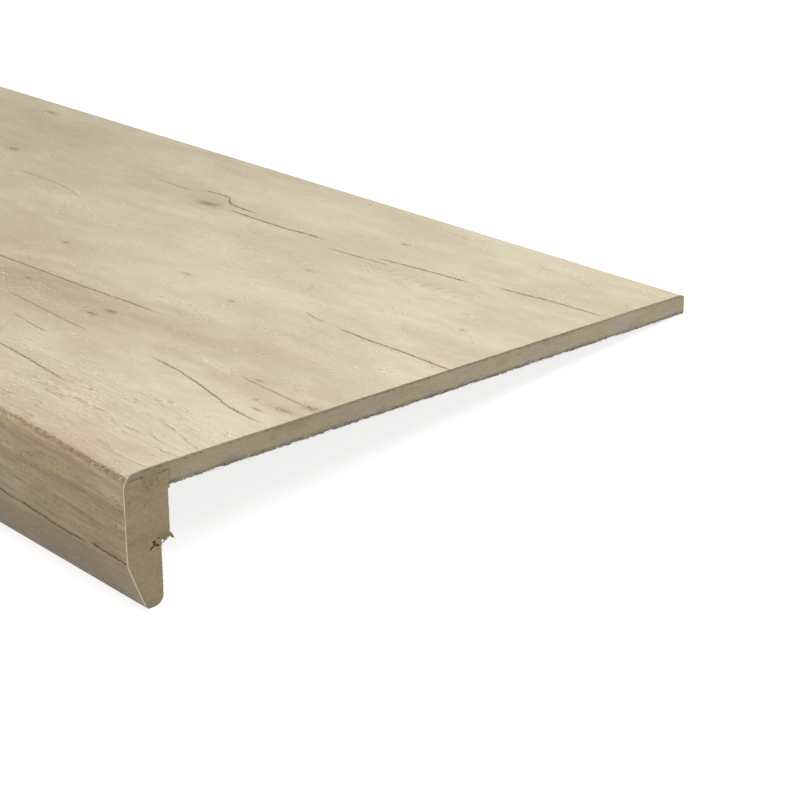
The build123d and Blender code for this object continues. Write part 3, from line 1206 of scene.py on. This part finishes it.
panel_tones = (paint(182, 168, 141), paint(150, 135, 110), paint(198, 186, 160))
block_tones = (paint(170, 153, 123), paint(142, 125, 96), paint(188, 172, 143))
sanded_tones = (paint(166, 147, 117), paint(142, 122, 94), paint(184, 167, 138))
sawn_panel = make_fibreboard(
    "sawn_panel",
    panel_tones,
    torn=paint(84, 82, 66),
    streak_size=(9.0, 0.45),
    bump=0.12 * mm,
    own_coats=panel_coats,
)
sawn_block = make_fibreboard(
    "sawn_block",
    block_tones,
    torn=paint(104, 82, 48),
    streak_size=(4.0, 0.8),
    bump=0.12 * mm,
    own_coats=block_coats,
)
panel_underside = make_fibreboard(
    "sanded_panel_face",
    sanded_tones,
    torn=paint(142, 122, 94),
    streak_size=(30.0, 1.2),
    bump=0.05 * mm,
)
milled_block = make_fibreboard(
    "milled_block_face",
    block_tones,
    torn=paint(140, 122, 92),
    streak_size=(14.0, 0.7),
    bump=0.08 * mm,
)
laminate_core = make_core()
plain_finishes = (sawn_panel, sawn_block, panel_underside, milled_block, laminate_core)
print("finished without a print:", ", ".join(material.name for material in plain_finishes))

# %% [markdown]
# ## The laminate, bent by Geometry Nodes
# A factory draws the warm sheet over the boards and it keeps one section from end to end.
# That is a rule, so nodes make it: the section is a closed line, and Curve to Mesh draws it
# along the tread. Each point of the section carries how far across the sheet it lies, and
# each station how far along. Together they are the sheet rolled out flat, which is where
# the print is drawn. At both ends the saw has chipped the sheet a little.

# %% Draw the sheet's closed section
def across_sheet(line, bend_starts):
    """How far across the rolled-out sheet each point lies. On the flat it equals the distance back."""
    walked = [0.0]
    for before, after in zip(line, line[1:]):
        walked.append(walked[-1] + abs(after - before))
    nearest = min(range(len(line)), key=lambda number: abs(line[number] - bend_starts))
    return [nose_radius + walked[nearest] - far for far in walked]


def make_sheet_section():
    """The sheet's section as a closed line, with the two values that its points carry."""
    glued = glue_line[:-1]
    outside_across = across_sheet(sheet_outside, complex(nose_radius, 0))
    glued_across = across_sheet(glued, complex(nose_radius, laminate_thickness))
    points = sheet_outside + glued[::-1]
    count = len(points)
    mesh = bpy.data.meshes.new("sheet_section")
    edges = [(number, (number + 1) % count) for number in range(count)]
    mesh.from_pydata([(point.real, point.imag, 0) for point in points], edges, [])
    across = mesh.attributes.new("across", "FLOAT", "POINT")
    across.data.foreach_set("value", outside_across + glued_across[::-1])
    facing = mesh.attributes.new("facing", "FLOAT", "POINT")
    facing.data.foreach_set("value", [1.0] * len(sheet_outside) + [0.0] * len(glued))
    return put_in_scene("sheet_section", mesh)


sheet_section = make_sheet_section()
print("the sheet's section has", len(sheet_section.data.vertices), "points")
rolled_out_width = sum(abs(after - before) for before, after in zip(sheet_outside, sheet_outside[1:]))
print("rolled out flat, the sheet is", round(rolled_out_width / mm, 1), "by", round(length / mm, 1), "mm")


# %% Make the tree that bends the sheet
def start_geometry(name, takes):
    """A new geometry tree with one mesh coming in, one going out and named inputs."""
    tree = bpy.data.node_groups.new(name, "GeometryNodeTree")
    tree.interface.new_socket("Geometry", in_out="INPUT", socket_type="NodeSocketGeometry")
    for label, kind in takes.items():
        tree.interface.new_socket(label, in_out="INPUT", socket_type="NodeSocket" + kind)
    tree.interface.new_socket("Geometry", in_out="OUTPUT", socket_type="NodeSocketGeometry")
    bench = Bench(tree)
    return tree, bench, bench.add("NodeGroupInput").outputs, bench.add("NodeGroupOutput").inputs


def stored(bench, geometry, name, value, kind="FLOAT", domain="POINT"):
    """The geometry with a value written on it under a name."""
    inputs = {"Geometry": geometry, "Name": name, "Value": value}
    return bench.add("GeometryNodeStoreNamedAttribute", inputs, data_type=kind, domain=domain).outputs[0]


def carried(bench, name):
    """The number that each point carries under a name."""
    return bench.add("GeometryNodeInputNamedAttribute", {"Name": name}, data_type="FLOAT").outputs[0]


def moved(bench, geometry, **where):
    """The geometry with its points set to a Position, or shifted by an Offset."""
    return bench.add("GeometryNodeSetPosition", {"Geometry": geometry} | where).outputs[0]


def finished(bench, geometry, **how):
    """The geometry in a Material, on the faces of a Selection if one is given."""
    return bench.add("GeometryNodeSetMaterial", {"Geometry": geometry} | how).outputs[0]


def draw_stations(bench, taken):
    """A straight path along the tread whose points lie closer together towards both ends."""
    end = bench.joined(bench.times(taken["Length"], -1.0))
    path = bench.add("GeometryNodeCurvePrimitiveLine", {"Start": origin, "End": end}).outputs[0]
    path = bench.add("GeometryNodeResampleCurve", {"Curve": path, "Count": taken["Stations"]}).outputs[0]
    number = bench.add("GeometryNodeInputIndex").outputs[0]
    share = bench.maths("DIVIDE", number, bench.minus(taken["Stations"], 1.0))
    closer_at_ends = bench.rise(share, 0.0, 1.0)
    closer_still = bench.rise(closer_at_ends, 0.0, 1.0)
    along = bench.times(closer_still, taken["Length"])
    path = moved(bench, path, Position=bench.joined(bench.times(along, -1.0)))
    return stored(bench, path, "along", along)


def chip_ends(bench, taken, sheet, along):
    """Pushes the points of both end edges inwards here and there."""
    place = bench.add("GeometryNodeInputPosition").outputs[0]
    inputs = {"Vector": bench.vector("DIVIDE", place, taken["Chip size"]), "Scale": 1.0, "Detail": 2.0}
    chipped = bench.rise(bench.add("ShaderNodeTexNoise", inputs).outputs[0], 0.5, 0.75)
    depth_here = bench.times(chipped, taken["Chip depth"])
    end_reach = bench.times(taken["Chip depth"], 0.5)
    at_near = bench.maths("LESS_THAN", along, end_reach)
    at_far = bench.maths("GREATER_THAN", along, bench.minus(taken["Length"], end_reach))
    inwards = bench.times(depth_here, bench.minus(at_far, at_near))
    return moved(bench, sheet, Offset=bench.joined(inwards))


def make_sheet_tree():
    """Draws a section along a straight tread, rolls it out for the print and chips its ends."""
    takes = {"Length": "Float", "Stations": "Int", "Chip depth": "Float", "Chip size": "Float"}
    takes |= {"Print": "Material", "Core": "Material"}
    tree, bench, taken, given = start_geometry("bent_sheet", takes)
    section = bench.add("GeometryNodeMeshToCurve", {"Mesh": taken["Geometry"]}).outputs["Curve"]
    drawn = {"Curve": draw_stations(bench, taken), "Profile Curve": section, "Fill Caps": True}
    sheet = bench.add("GeometryNodeCurveToMesh", drawn).outputs[0]
    along = carried(bench, "along")
    rolled_out = bench.joined(along, carried(bench, "across"))
    sheet = stored(bench, sheet, "Sheet", rolled_out, kind="FLOAT2", domain="CORNER")
    sheet = chip_ends(bench, taken, sheet, along)

    sheet = finished(bench, sheet, Material=taken["Core"])
    faces = {"data_type": "FLOAT", "domain": "FACE"}
    facing = bench.add("GeometryNodeFieldOnDomain", {"Value": carried(bench, "facing")}, **faces).outputs[0]
    outside = bench.add("FunctionNodeCompare", {"A": facing, "B": 0.99}, operation="GREATER_THAN")
    sheet = finished(bench, sheet, Selection=outside.outputs[0], Material=taken["Print"])
    sheet = bench.add("GeometryNodeSetShadeSmooth", {"Geometry": sheet}).outputs[0]
    bench.feed(given["Geometry"], sheet)
    return tree


def grown(holder, tree, **inputs):
    """Runs a geometry tree on an object, keeps the result as a plain mesh and clears up."""
    modifier = holder.modifiers.new(tree.name, "NODES")
    modifier.node_group = tree
    for item in tree.interface.items_tree:
        label = item.name.replace(" ", "_")
        if item.item_type == "SOCKET" and item.in_out == "INPUT" and label in inputs:
            modifier[item.identifier] = inputs[label]
    graph = bpy.context.evaluated_depsgraph_get()
    evaluated = holder.evaluated_get(graph)
    mesh = bpy.data.meshes.new_from_object(evaluated, preserve_all_data_layers=True, depsgraph=graph)
    holder.modifiers.clear()
    bpy.data.objects.remove(holder)
    return mesh


sheet_tree = make_sheet_tree()
print("the sheet's tree has", len(sheet_tree.nodes), "nodes")

# %% [markdown]
# ## Sharp corners
# A mesh is shaded smooth over its bends and broken only at real corners.


corner_angle = math.radians(32)


def place_piece(name, mesh, replaced):
    """Closes a finished mesh, lays it down where the CAD piece is and takes that piece's place."""
    tidy = bmesh.new()
    tidy.from_mesh(mesh)
    bmesh.ops.remove_doubles(tidy, verts=tidy.verts, dist=0.0005 * mm)
    bmesh.ops.recalc_face_normals(tidy, faces=tidy.faces)
    tidy.to_mesh(mesh)
    tidy.free()
    mesh.shade_smooth()
    mesh.set_sharp_from_angle(angle=corner_angle)
    mesh.transform(tread_to_row)
    mesh.name = name
    piece = put_in_scene(name, mesh)
    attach(piece, "root")
    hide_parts(replaced)
    print(name, "has", sum(len(face.vertices) - 2 for face in mesh.polygons), "triangles")


# %% Bend the sheet
sheet_mesh = grown(
    sheet_section,
    sheet_tree,
    Length=length,
    Stations=26,
    Chip_depth=0.22 * mm,
    Chip_size=0.9 * mm,
    Print=oak_face,
    Core=laminate_core,
)
place_piece("oak_sheet", sheet_mesh, "decor_laminate")

# %% [markdown]
# ## Boards with sawn ends
# A board is its outline drawn along the tread, closed by two sawn ends. The long sides need
# few stations, but near an end they come close together, because there the blade has torn
# the free arrises. The ends are filled with small triangles whose points sink a little:
# pits, the open glue joint and one crumbled hole by the block's step at the near end. The
# grid of those points is shifted at random from a fixed seed, so each run makes one mesh.


# %% Describe how the saw left the ends
noise_fall = 0.6
noise_step = 2.1
noise_layers = 3


def rough(place, size, seed):
    """Uneven noise from about -1 to 1 at a place, with lumps of the given size."""
    shift = Vector((seed, seed * 2.3, seed * 0.7))
    return noise.fractal(place / size + shift, noise_fall, noise_step, noise_layers)


def lying_between(value, low, high, edge):
    """1 between two values, falling to 0 within an edge's width outside them."""
    outside = max(low - value, value - high, 0.0)
    return max(0.0, 1.0 - outside / edge)


crumbs = [(12.1, 29.5, 0.8), (12.3, 30.6, 0.9), (12.9, 31.3, 0.8), (13.8, 31.5, 0.55)]
crumbs += [(11.5, 31.6, 0.8), (10.6, 32.1, 0.6), (14.1, 28.7, 0.5)]
holes = [(complex(across, down) * mm, reach * mm) for across, down, reach in crumbs]
hole_depth = 1.0 * mm
arris_reach = 1.1 * mm
back_reach = 0.7 * mm
beside_step = 0.4 * mm
joint_reach = (2.4 * mm, 19.6 * mm)
least_sunk = 0.02 * mm
pit_depth = 0.035 * mm
torn_depth = 0.28 * mm
joint_gape = 0.25 * mm


def hole_at(point, place):
    """How deep the crumbled hole is at a section point, as a share."""
    share = 0.0
    for centre, reach in holes:
        ragged_reach = reach * (1.0 + 0.35 * rough(place, 0.6 * mm, 3.0))
        share = max(share, 1.0 - abs(point - centre) / ragged_reach)
    return min(1.0, share * 2.5)


def joint_opening(point, place):
    """How open the glue joint is at a section point, as a share."""
    on_line = lying_between(point.imag, joint_depth, joint_depth, 0.3 * mm)
    reach = lying_between(point.real, *joint_reach, 0.4 * mm)
    dash = 0.55 + 0.7 * rough(place, 1.5 * mm, 8.0)
    well_start, well_end = glued_well
    glued = lying_between(point.real, well_start * mm, well_end * mm, glued_well_edge * mm)
    return on_line * reach * min(1.0, max(0.0, dash)) * (1.0 - 0.8 * glued)


def free_arris(point):
    """How near a section point is to an arris with nothing glued to it, as a share."""
    under_panel = lying_between(point.imag, panel_bottom, panel_bottom, arris_reach)
    under_panel *= lying_between(point.real, rebate_depth, depth, arris_reach)
    back_face = block_thickness if point.imag < step_top else lip_thickness
    behind_block = lying_between(point.real, back_face, back_face, back_reach)
    behind_block *= lying_between(point.imag, shoulder_bottom, nose_height, arris_reach)
    along_step = lying_between(point.imag, step_top - beside_step, step_bottom + beside_step, arris_reach)
    along_step *= lying_between(point.real, lip_thickness, block_thickness, arris_reach)
    return max(under_panel, behind_block * 0.6, along_step)


def sawn_relief(point, near_end):
    """How far a point of a sawn end sinks, and how torn its fibre is; joint and hole add painted shade."""
    place = Vector((0.0 if near_end else 1.0, point.real, point.imag))
    torn = free_arris(point) * max(0.0, 0.45 + 0.9 * rough(place, 0.9 * mm, 1.0))
    fine = 0.5 + 0.5 * rough(place, 0.5 * mm, 5.0)
    open_joint = joint_opening(point, place)
    sunk = least_sunk + pit_depth * max(0.0, fine) + torn_depth * torn + joint_gape * open_joint
    hole = hole_at(point, place) if near_end else 0.0
    sunk += hole * hole_depth * (0.75 + 0.25 * rough(place, 0.4 * mm, 2.0))
    # The darkness adds painted shade in the open joint and the crumbled hole to the torn fibre.
    return sunk, min(1.0, 0.75 * torn + 0.8 * open_joint + hole)


print("the crumbled hole has", len(holes), "lobes and is", round(hole_depth / mm, 1), "mm deep")


# %% Tear the free arrises
end_distances = [0, 0.5 * mm, 1.4 * mm, 3.5 * mm, 12 * mm, 60 * mm, 220 * mm]
stations = end_distances + [length - distance for distance in reversed(end_distances)]
tear_reach = 3.2 * mm
floor_edge = depth - 14 * mm
on_the_face = 0.01 * mm
short_tear = 0.3 * mm
long_tear = 0.34 * mm
mean_lift = 0.05 * mm
step_tear = 0.5 * mm
step_tear_way = complex(0.5, 0.87)
bite_depth = 1.3 * mm
bite_start = lip_thickness + 0.3 * mm
bite_end = lip_thickness + 0.9 * mm
back_tear = 0.22 * mm
back_mean = 0.04 * mm


def tear(point, station):
    """How far a board's free arris is torn away near a sawn end, as a shift of the section point."""
    from_end = min(station, length - station)
    fading = max(0.0, 1.0 - from_end / tear_reach)
    if fading == 0.0:
        return 0
    place = Vector((station, point.real, point.imag))
    ragged = rough(place, 1.3 * mm, 4.0) + 0.5 * rough(place, 0.45 * mm, 6.0)
    shift = 0
    if abs(point.imag - panel_bottom) < on_the_face and rebate_depth + 0.5 * mm < point.real:
        up_only = point.real > floor_edge
        drop = short_tear * ragged + long_tear * rough(place, 4.5 * mm, 9.0) - mean_lift
        shift += 1j * (min(drop, 0) if up_only else drop)
    beside_step_down = step_top - 0.2 * mm < point.imag < step_bottom + 0.2 * mm
    on_back_face = abs(point.real - block_thickness) < on_the_face
    on_lip_face = abs(point.real - lip_thickness) < on_the_face
    if beside_step_down and lip_thickness < point.real < block_thickness - on_the_face:
        shift += step_tear * ragged * step_tear_way
        bitten = lying_between(point.real, bite_start, bite_end, 0.4 * mm)
        shift -= 1j * bite_depth * bitten * (station < length / 2)
    elif on_back_face or on_lip_face:
        shift += min(0, back_tear * ragged - back_mean)
    return shift * fading


print("the arrises are torn up to", round(tear_reach / mm, 1), "mm in from the ends")

# %% Sweep an outline and fill its ends
crumbs_box = (Vector((9.4, 27.8)), Vector((14.9, 33.2)))
round_crumbs = 0.4
fine_spacing = 0.2
off_the_ring = 0.55
jitter_lumps = 3.7
jitter_share = 0.35
only_inside = 1
same_spot = 1e-5
shaded_arris = 1.5 * mm
jitter_seed = 4
noise.seed_set(jitter_seed)


def in_crumbs(spot):
    """Whether a spot of the section, in millimetres, lies where the hole needs small triangles."""
    here = complex(spot.x, spot.y)
    return any(abs(here - centre / mm) < reach / mm + round_crumbs for centre, reach in holes)


def jittered_grid(low, high, spacing):
    """Points about a spacing apart, shifted a little so that no rows show."""
    spots = []
    for row in range(math.ceil((high.y - low.y) / spacing)):
        for column in range(math.ceil((high.x - low.x) / spacing)):
            grid = Vector((column + 0.5 * (row % 2), row, 0)) * spacing + low.to_3d()
            jitter = noise.noise_vector(grid * jitter_lumps) * spacing * jitter_share
            spots.append(Vector((grid.x + jitter.x, grid.y + jitter.y)))
    return spots


def inner_spots(flat, spacing, near_end):
    """Spots inside a board's end, closer together where the crumbled hole is."""
    low = Vector(map(min, zip(*flat)))
    high = Vector(map(max, zip(*flat)))
    spots = jittered_grid(low, high, spacing)
    if near_end and high.y > crumbs_box[1].y:
        spots = [spot for spot in spots if not in_crumbs(spot)]
        spots += [spot for spot in jittered_grid(*crumbs_box, fine_spacing) if in_crumbs(spot)]
    tree = kdtree.KDTree(len(flat))
    for number, point in enumerate(flat):
        tree.insert(point.to_3d(), number)
    tree.balance()
    return [spot for spot in spots if tree.find(spot.to_3d())[2] > spacing * off_the_ring]


def fill_end(board, ring, station, spacing):
    """Closes one end with small triangles between the ring and a jittered grid of inner points."""
    near_end = station == 0
    inwards = -1 if near_end else 1
    flat = [Vector((vertex.co.y, -vertex.co.z)) / mm for vertex in ring]
    edges = [(number, (number + 1) % len(flat)) for number in range(len(flat))]
    spots = flat + inner_spots(flat, spacing, near_end)
    filled = delaunay_2d_cdt(spots, edges, [], only_inside, same_spot)
    points, faces, from_points = filled[0], filled[2], filled[3]
    broken = board.verts.layers.float["broken"]
    vertices = {}
    for number in (number for face in faces for number in face):
        if number in vertices:
            continue
        source = from_points[number][0]
        if source < len(ring):
            vertices[number] = ring[source]
            continue
        point = complex(points[number].x, points[number].y) * mm
        sunk, torn = sawn_relief(point, near_end)
        vertex = board.verts.new(on_tread(station, point) + Vector((inwards * sunk, 0, 0)))
        vertex[broken] = torn
        vertices[number] = vertex
    for face in faces:
        board.faces.new([vertices[number] for number in face]).material_index = 1


def make_board(name, outline, materials, end_spacing):
    """A board from its outline: long sides in the first finish and two sawn ends in the second."""
    board = bmesh.new()
    broken = board.verts.layers.float.new("broken")
    rings = []
    for station in stations:
        at_end = station in (0, length)
        inwards = -1 if station == 0 else 1
        near_end = max(0.0, 1 - min(station, length - station) / shaded_arris)
        ring = []
        for point in outline:
            shifted = point + tear(point, station)
            sunk, torn = sawn_relief(shifted, station == 0) if at_end else (0, 0)
            vertex = board.verts.new(on_tread(station, shifted) + Vector((inwards * sunk, 0, 0)))
            vertex[broken] = torn if at_end else 0.5 * near_end * free_arris(point)
            ring.append(vertex)
        rings.append(ring)
    for ring, further in zip(rings, rings[1:]):
        for number in range(len(ring)):
            board.faces.new((ring[number - 1], ring[number], further[number], further[number - 1]))
    fill_end(board, rings[0], 0, end_spacing)
    fill_end(board, rings[-1], length, end_spacing)
    mesh = bpy.data.meshes.new(name)
    for material in materials:
        mesh.materials.append(material)
    board.to_mesh(mesh)
    board.free()
    return mesh


panel_mesh = make_board("panel_board", panel_outline, [panel_underside, sawn_panel], end_spacing=0.75)
block_mesh = make_board("nosing_board", block_outline, [milled_block, sawn_block], end_spacing=0.5)
print("the panel has", len(panel_mesh.polygons), "faces and the block", len(block_mesh.polygons))

# %% [markdown]
# ## Torn fibres
# A saw lifts fibres where nothing backs the cut, so the free arrises are furred. Hundreds of
# them are the same thing at other sizes and slants, so nodes place them: a thin cone on
# points along the arris, each with its own length and lean from a fixed seed.


# %% Make the tree that grows fibres
def random_vector(bench, seed):
    """A vector for each point whose parts lie between -1 and 1."""
    inputs = {0: (-1.0, -1.0, -1.0), 1: (1.0, 1.0, 1.0), "Seed": seed}
    return bench.add("FunctionNodeRandomValue", inputs, data_type="FLOAT_VECTOR").outputs[0]


def make_fibre_tree():
    """Stands thin cones along a line, each a little different."""
    takes = {"Count": "Int", "Shortest": "Float", "Longest": "Float", "Thickness": "Float"}
    takes |= {"Direction": "Vector", "Spread": "Float", "Scatter": "Float", "Seed": "Int"}
    takes["Material"] = "Material"
    tree, bench, taken, given = start_geometry("torn_fibres", takes)
    line = bench.add("GeometryNodeMeshToCurve", {"Mesh": taken["Geometry"]}).outputs["Curve"]
    along_line = {"Curve": line, "Count": taken["Count"]}
    spots = bench.add("GeometryNodeCurveToPoints", along_line).outputs["Points"]
    scattered = bench.vector("MULTIPLY", random_vector(bench, taken["Seed"]), taken["Scatter"])
    spots = moved(bench, spots, Offset=scattered)

    sway = random_vector(bench, bench.plus(taken["Seed"], 17.0))
    pointing = bench.vector("ADD", taken["Direction"], bench.vector("MULTIPLY", sway, taken["Spread"]))
    turned_to = bench.add("FunctionNodeAlignRotationToVector", {"Vector": pointing}, axis="Z").outputs[0]
    cone = {"Vertices": 4, "Radius Top": 0.08, "Radius Bottom": 0.5, "Depth": 1.0}
    fibre = stored(bench, bench.add("GeometryNodeMeshCone", cone).outputs["Mesh"], "broken", 0.35)
    limits = {2: taken["Shortest"], 3: taken["Longest"], "Seed": bench.plus(taken["Seed"], 31.0)}
    long = bench.add("FunctionNodeRandomValue", limits, data_type="FLOAT").outputs[1]
    size = bench.joined(taken["Thickness"], taken["Thickness"], long)
    placed = {"Points": spots, "Instance": fibre, "Rotation": turned_to, "Scale": size}
    fibres = bench.add("GeometryNodeInstanceOnPoints", placed).outputs[0]
    fibres = bench.add("GeometryNodeRealizeInstances", {"Geometry": fibres}).outputs[0]
    bench.feed(given["Geometry"], finished(bench, fibres, Material=taken["Material"]))
    return tree


fibre_tree = make_fibre_tree()
print("the fibre tree has", len(fibre_tree.nodes), "nodes")

# %% Grow fibres along the free arrises
fibre_set_in = 0.12 * mm
fibre_scatter = 0.12 * mm
fibre_spread = 0.75
down = (0.0, 0.0, -1.0)
back_and_down = (0.0, 0.6, -0.8)
backwards = (0.0, 1.0, 0.0)
panel_arris = [complex(rebate_depth + 1 * mm, panel_bottom), complex(floor_edge, panel_bottom)]
step_edge = [complex(lip_thickness, step_bottom - 0.2 * mm), complex(block_thickness, step_top)]
lip_edge = [complex(lip_thickness, step_bottom + 1 * mm), complex(lip_thickness, nose_height - 6 * mm)]


def draw_line(points):
    """An open line as an object, for the fibres to grow along."""
    mesh = bpy.data.meshes.new("arris")
    mesh.from_pydata(points, [(number, number + 1) for number in range(len(points) - 1)], [])
    return put_in_scene("arris", mesh)


def grow_fibres(corners, station, **inputs):
    """Fibres along the straight line between two section points, at one end of the tread."""
    inwards = -fibre_set_in if station == 0 else fibre_set_in
    line = draw_line([on_tread(station, corner) + Vector((inwards, 0, 0)) for corner in corners])
    fibres = grown(line, fibre_tree, Spread=fibre_spread, Scatter=fibre_scatter, **inputs)
    for vertex in fibres.vertices:
        vertex.co.x = max(-length, min(0, vertex.co.x))
    return fibres


panel_fibres = []
block_fibres = []
fibre_rows = [
    (panel_fibres, panel_arris, 520, (0.2, 0.75), 0.16, down, 3, sawn_panel),
    (block_fibres, step_edge, 26, (0.4, 1.3), 0.28, back_and_down, 5, sawn_block),
    (block_fibres, lip_edge, 40, (0.15, 0.5), 0.14, backwards, 7, sawn_block),
]
for number, station in enumerate((0, length)):
    for meshes, corners, count, (shortest, longest), thickness, direction, seed, material in fibre_rows:
        inputs = {"Count": count, "Shortest": shortest * mm, "Longest": longest * mm}
        inputs |= {"Thickness": thickness * mm, "Direction": direction}
        inputs |= {"Seed": seed + number, "Material": material}
        meshes.append(grow_fibres(corners, station, **inputs))
print("fibres on both ends:", 2 * sum(row[2] for row in fibre_rows))

# %% Make the splinter
splinter_line = [(18.2, 27.6, 0.8), (19.3, 28.4, 0.8), (20.2, 29.3, 0.65), (20.8, 30.2, 0.5)]
splinter_line += [(21.4, 30.9, 0.2)]
splinter_sides = 8
splinter_set_in = 1.1 * mm
splinter_half_thickness = 0.7
splinter_raggedness = 0.35


def splinter_ring(chip, broken, number):
    """One ring of the splinter, across its centre line."""
    middles = [complex(across, down) for across, down, half in splinter_line]
    middle = middles[number]
    half = splinter_line[number][2]
    before = middles[max(0, number - 1)]
    after = middles[min(len(middles) - 1, number + 1)]
    sideways = (after - before) / abs(after - before) * 1j
    ring = []
    for side in range(splinter_sides):
        turn = cmath.rect(1, 2 * math.pi * side / splinter_sides)
        ragged = 1 + splinter_raggedness * rough(Vector((middle.real, middle.imag, side)), 1.0, 4.0)
        spot = on_tread(splinter_set_in, (middle + sideways * turn.real * half * ragged) * mm)
        thick = splinter_half_thickness * half * turn.imag * ragged * mm
        vertex = chip.verts.new(spot + Vector((thick, 0, 0)))
        vertex[broken] = 0.15 + 0.08 * number
        ring.append(vertex)
    return ring


def make_splinter():
    """The torn chip that hangs off the block's step at the near end: flat, curled and pointed."""
    chip = bmesh.new()
    broken = chip.verts.layers.float.new("broken")
    rings = [splinter_ring(chip, broken, number) for number in range(len(splinter_line))]
    for ring, further in zip(rings, rings[1:]):
        for side in range(splinter_sides):
            chip.faces.new((ring[side - 1], ring[side], further[side], further[side - 1]))
    chip.faces.new(rings[0])
    chip.faces.new(rings[-1][::-1])
    bmesh.ops.recalc_face_normals(chip, faces=chip.faces)
    mesh = bpy.data.meshes.new("splinter")
    mesh.materials.append(sawn_block)
    chip.to_mesh(mesh)
    chip.free()
    return mesh


splinter = make_splinter()
print("the splinter has", len(splinter.polygons), "faces")


# %% Join each board with its fibres
def join_meshes(name, meshes):
    """Several meshes as one, with the materials of the first."""
    whole = bmesh.new()
    for mesh in meshes:
        names = [material.name if material else "" for material in mesh.materials]
        indices = [max(0, meshes[0].materials.find(name)) for name in names]
        already = len(whole.faces)
        whole.from_mesh(mesh)
        whole.faces.ensure_lookup_table()
        for face in whole.faces[already:]:
            face.material_index = indices[face.material_index]
    joined = bpy.data.meshes.new(name)
    for material in meshes[0].materials:
        joined.materials.append(material)
    whole.to_mesh(joined)
    whole.free()
    return joined


whole_panel = join_meshes("panel_board", [panel_mesh] + panel_fibres)
whole_block = join_meshes("nosing_board", [block_mesh] + block_fibres + [splinter])
place_piece("panel_board", whole_panel, "tread_panel")
place_piece("nosing_board", whole_block, "nosing_block")

# %% Note the sizes and finish
seen_low, seen_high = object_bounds()
largest = max((seen_high - cad_high).length, (seen_low - cad_low).length)
print("largest difference from the CAD box:", round(largest / mm, 3), "mm")
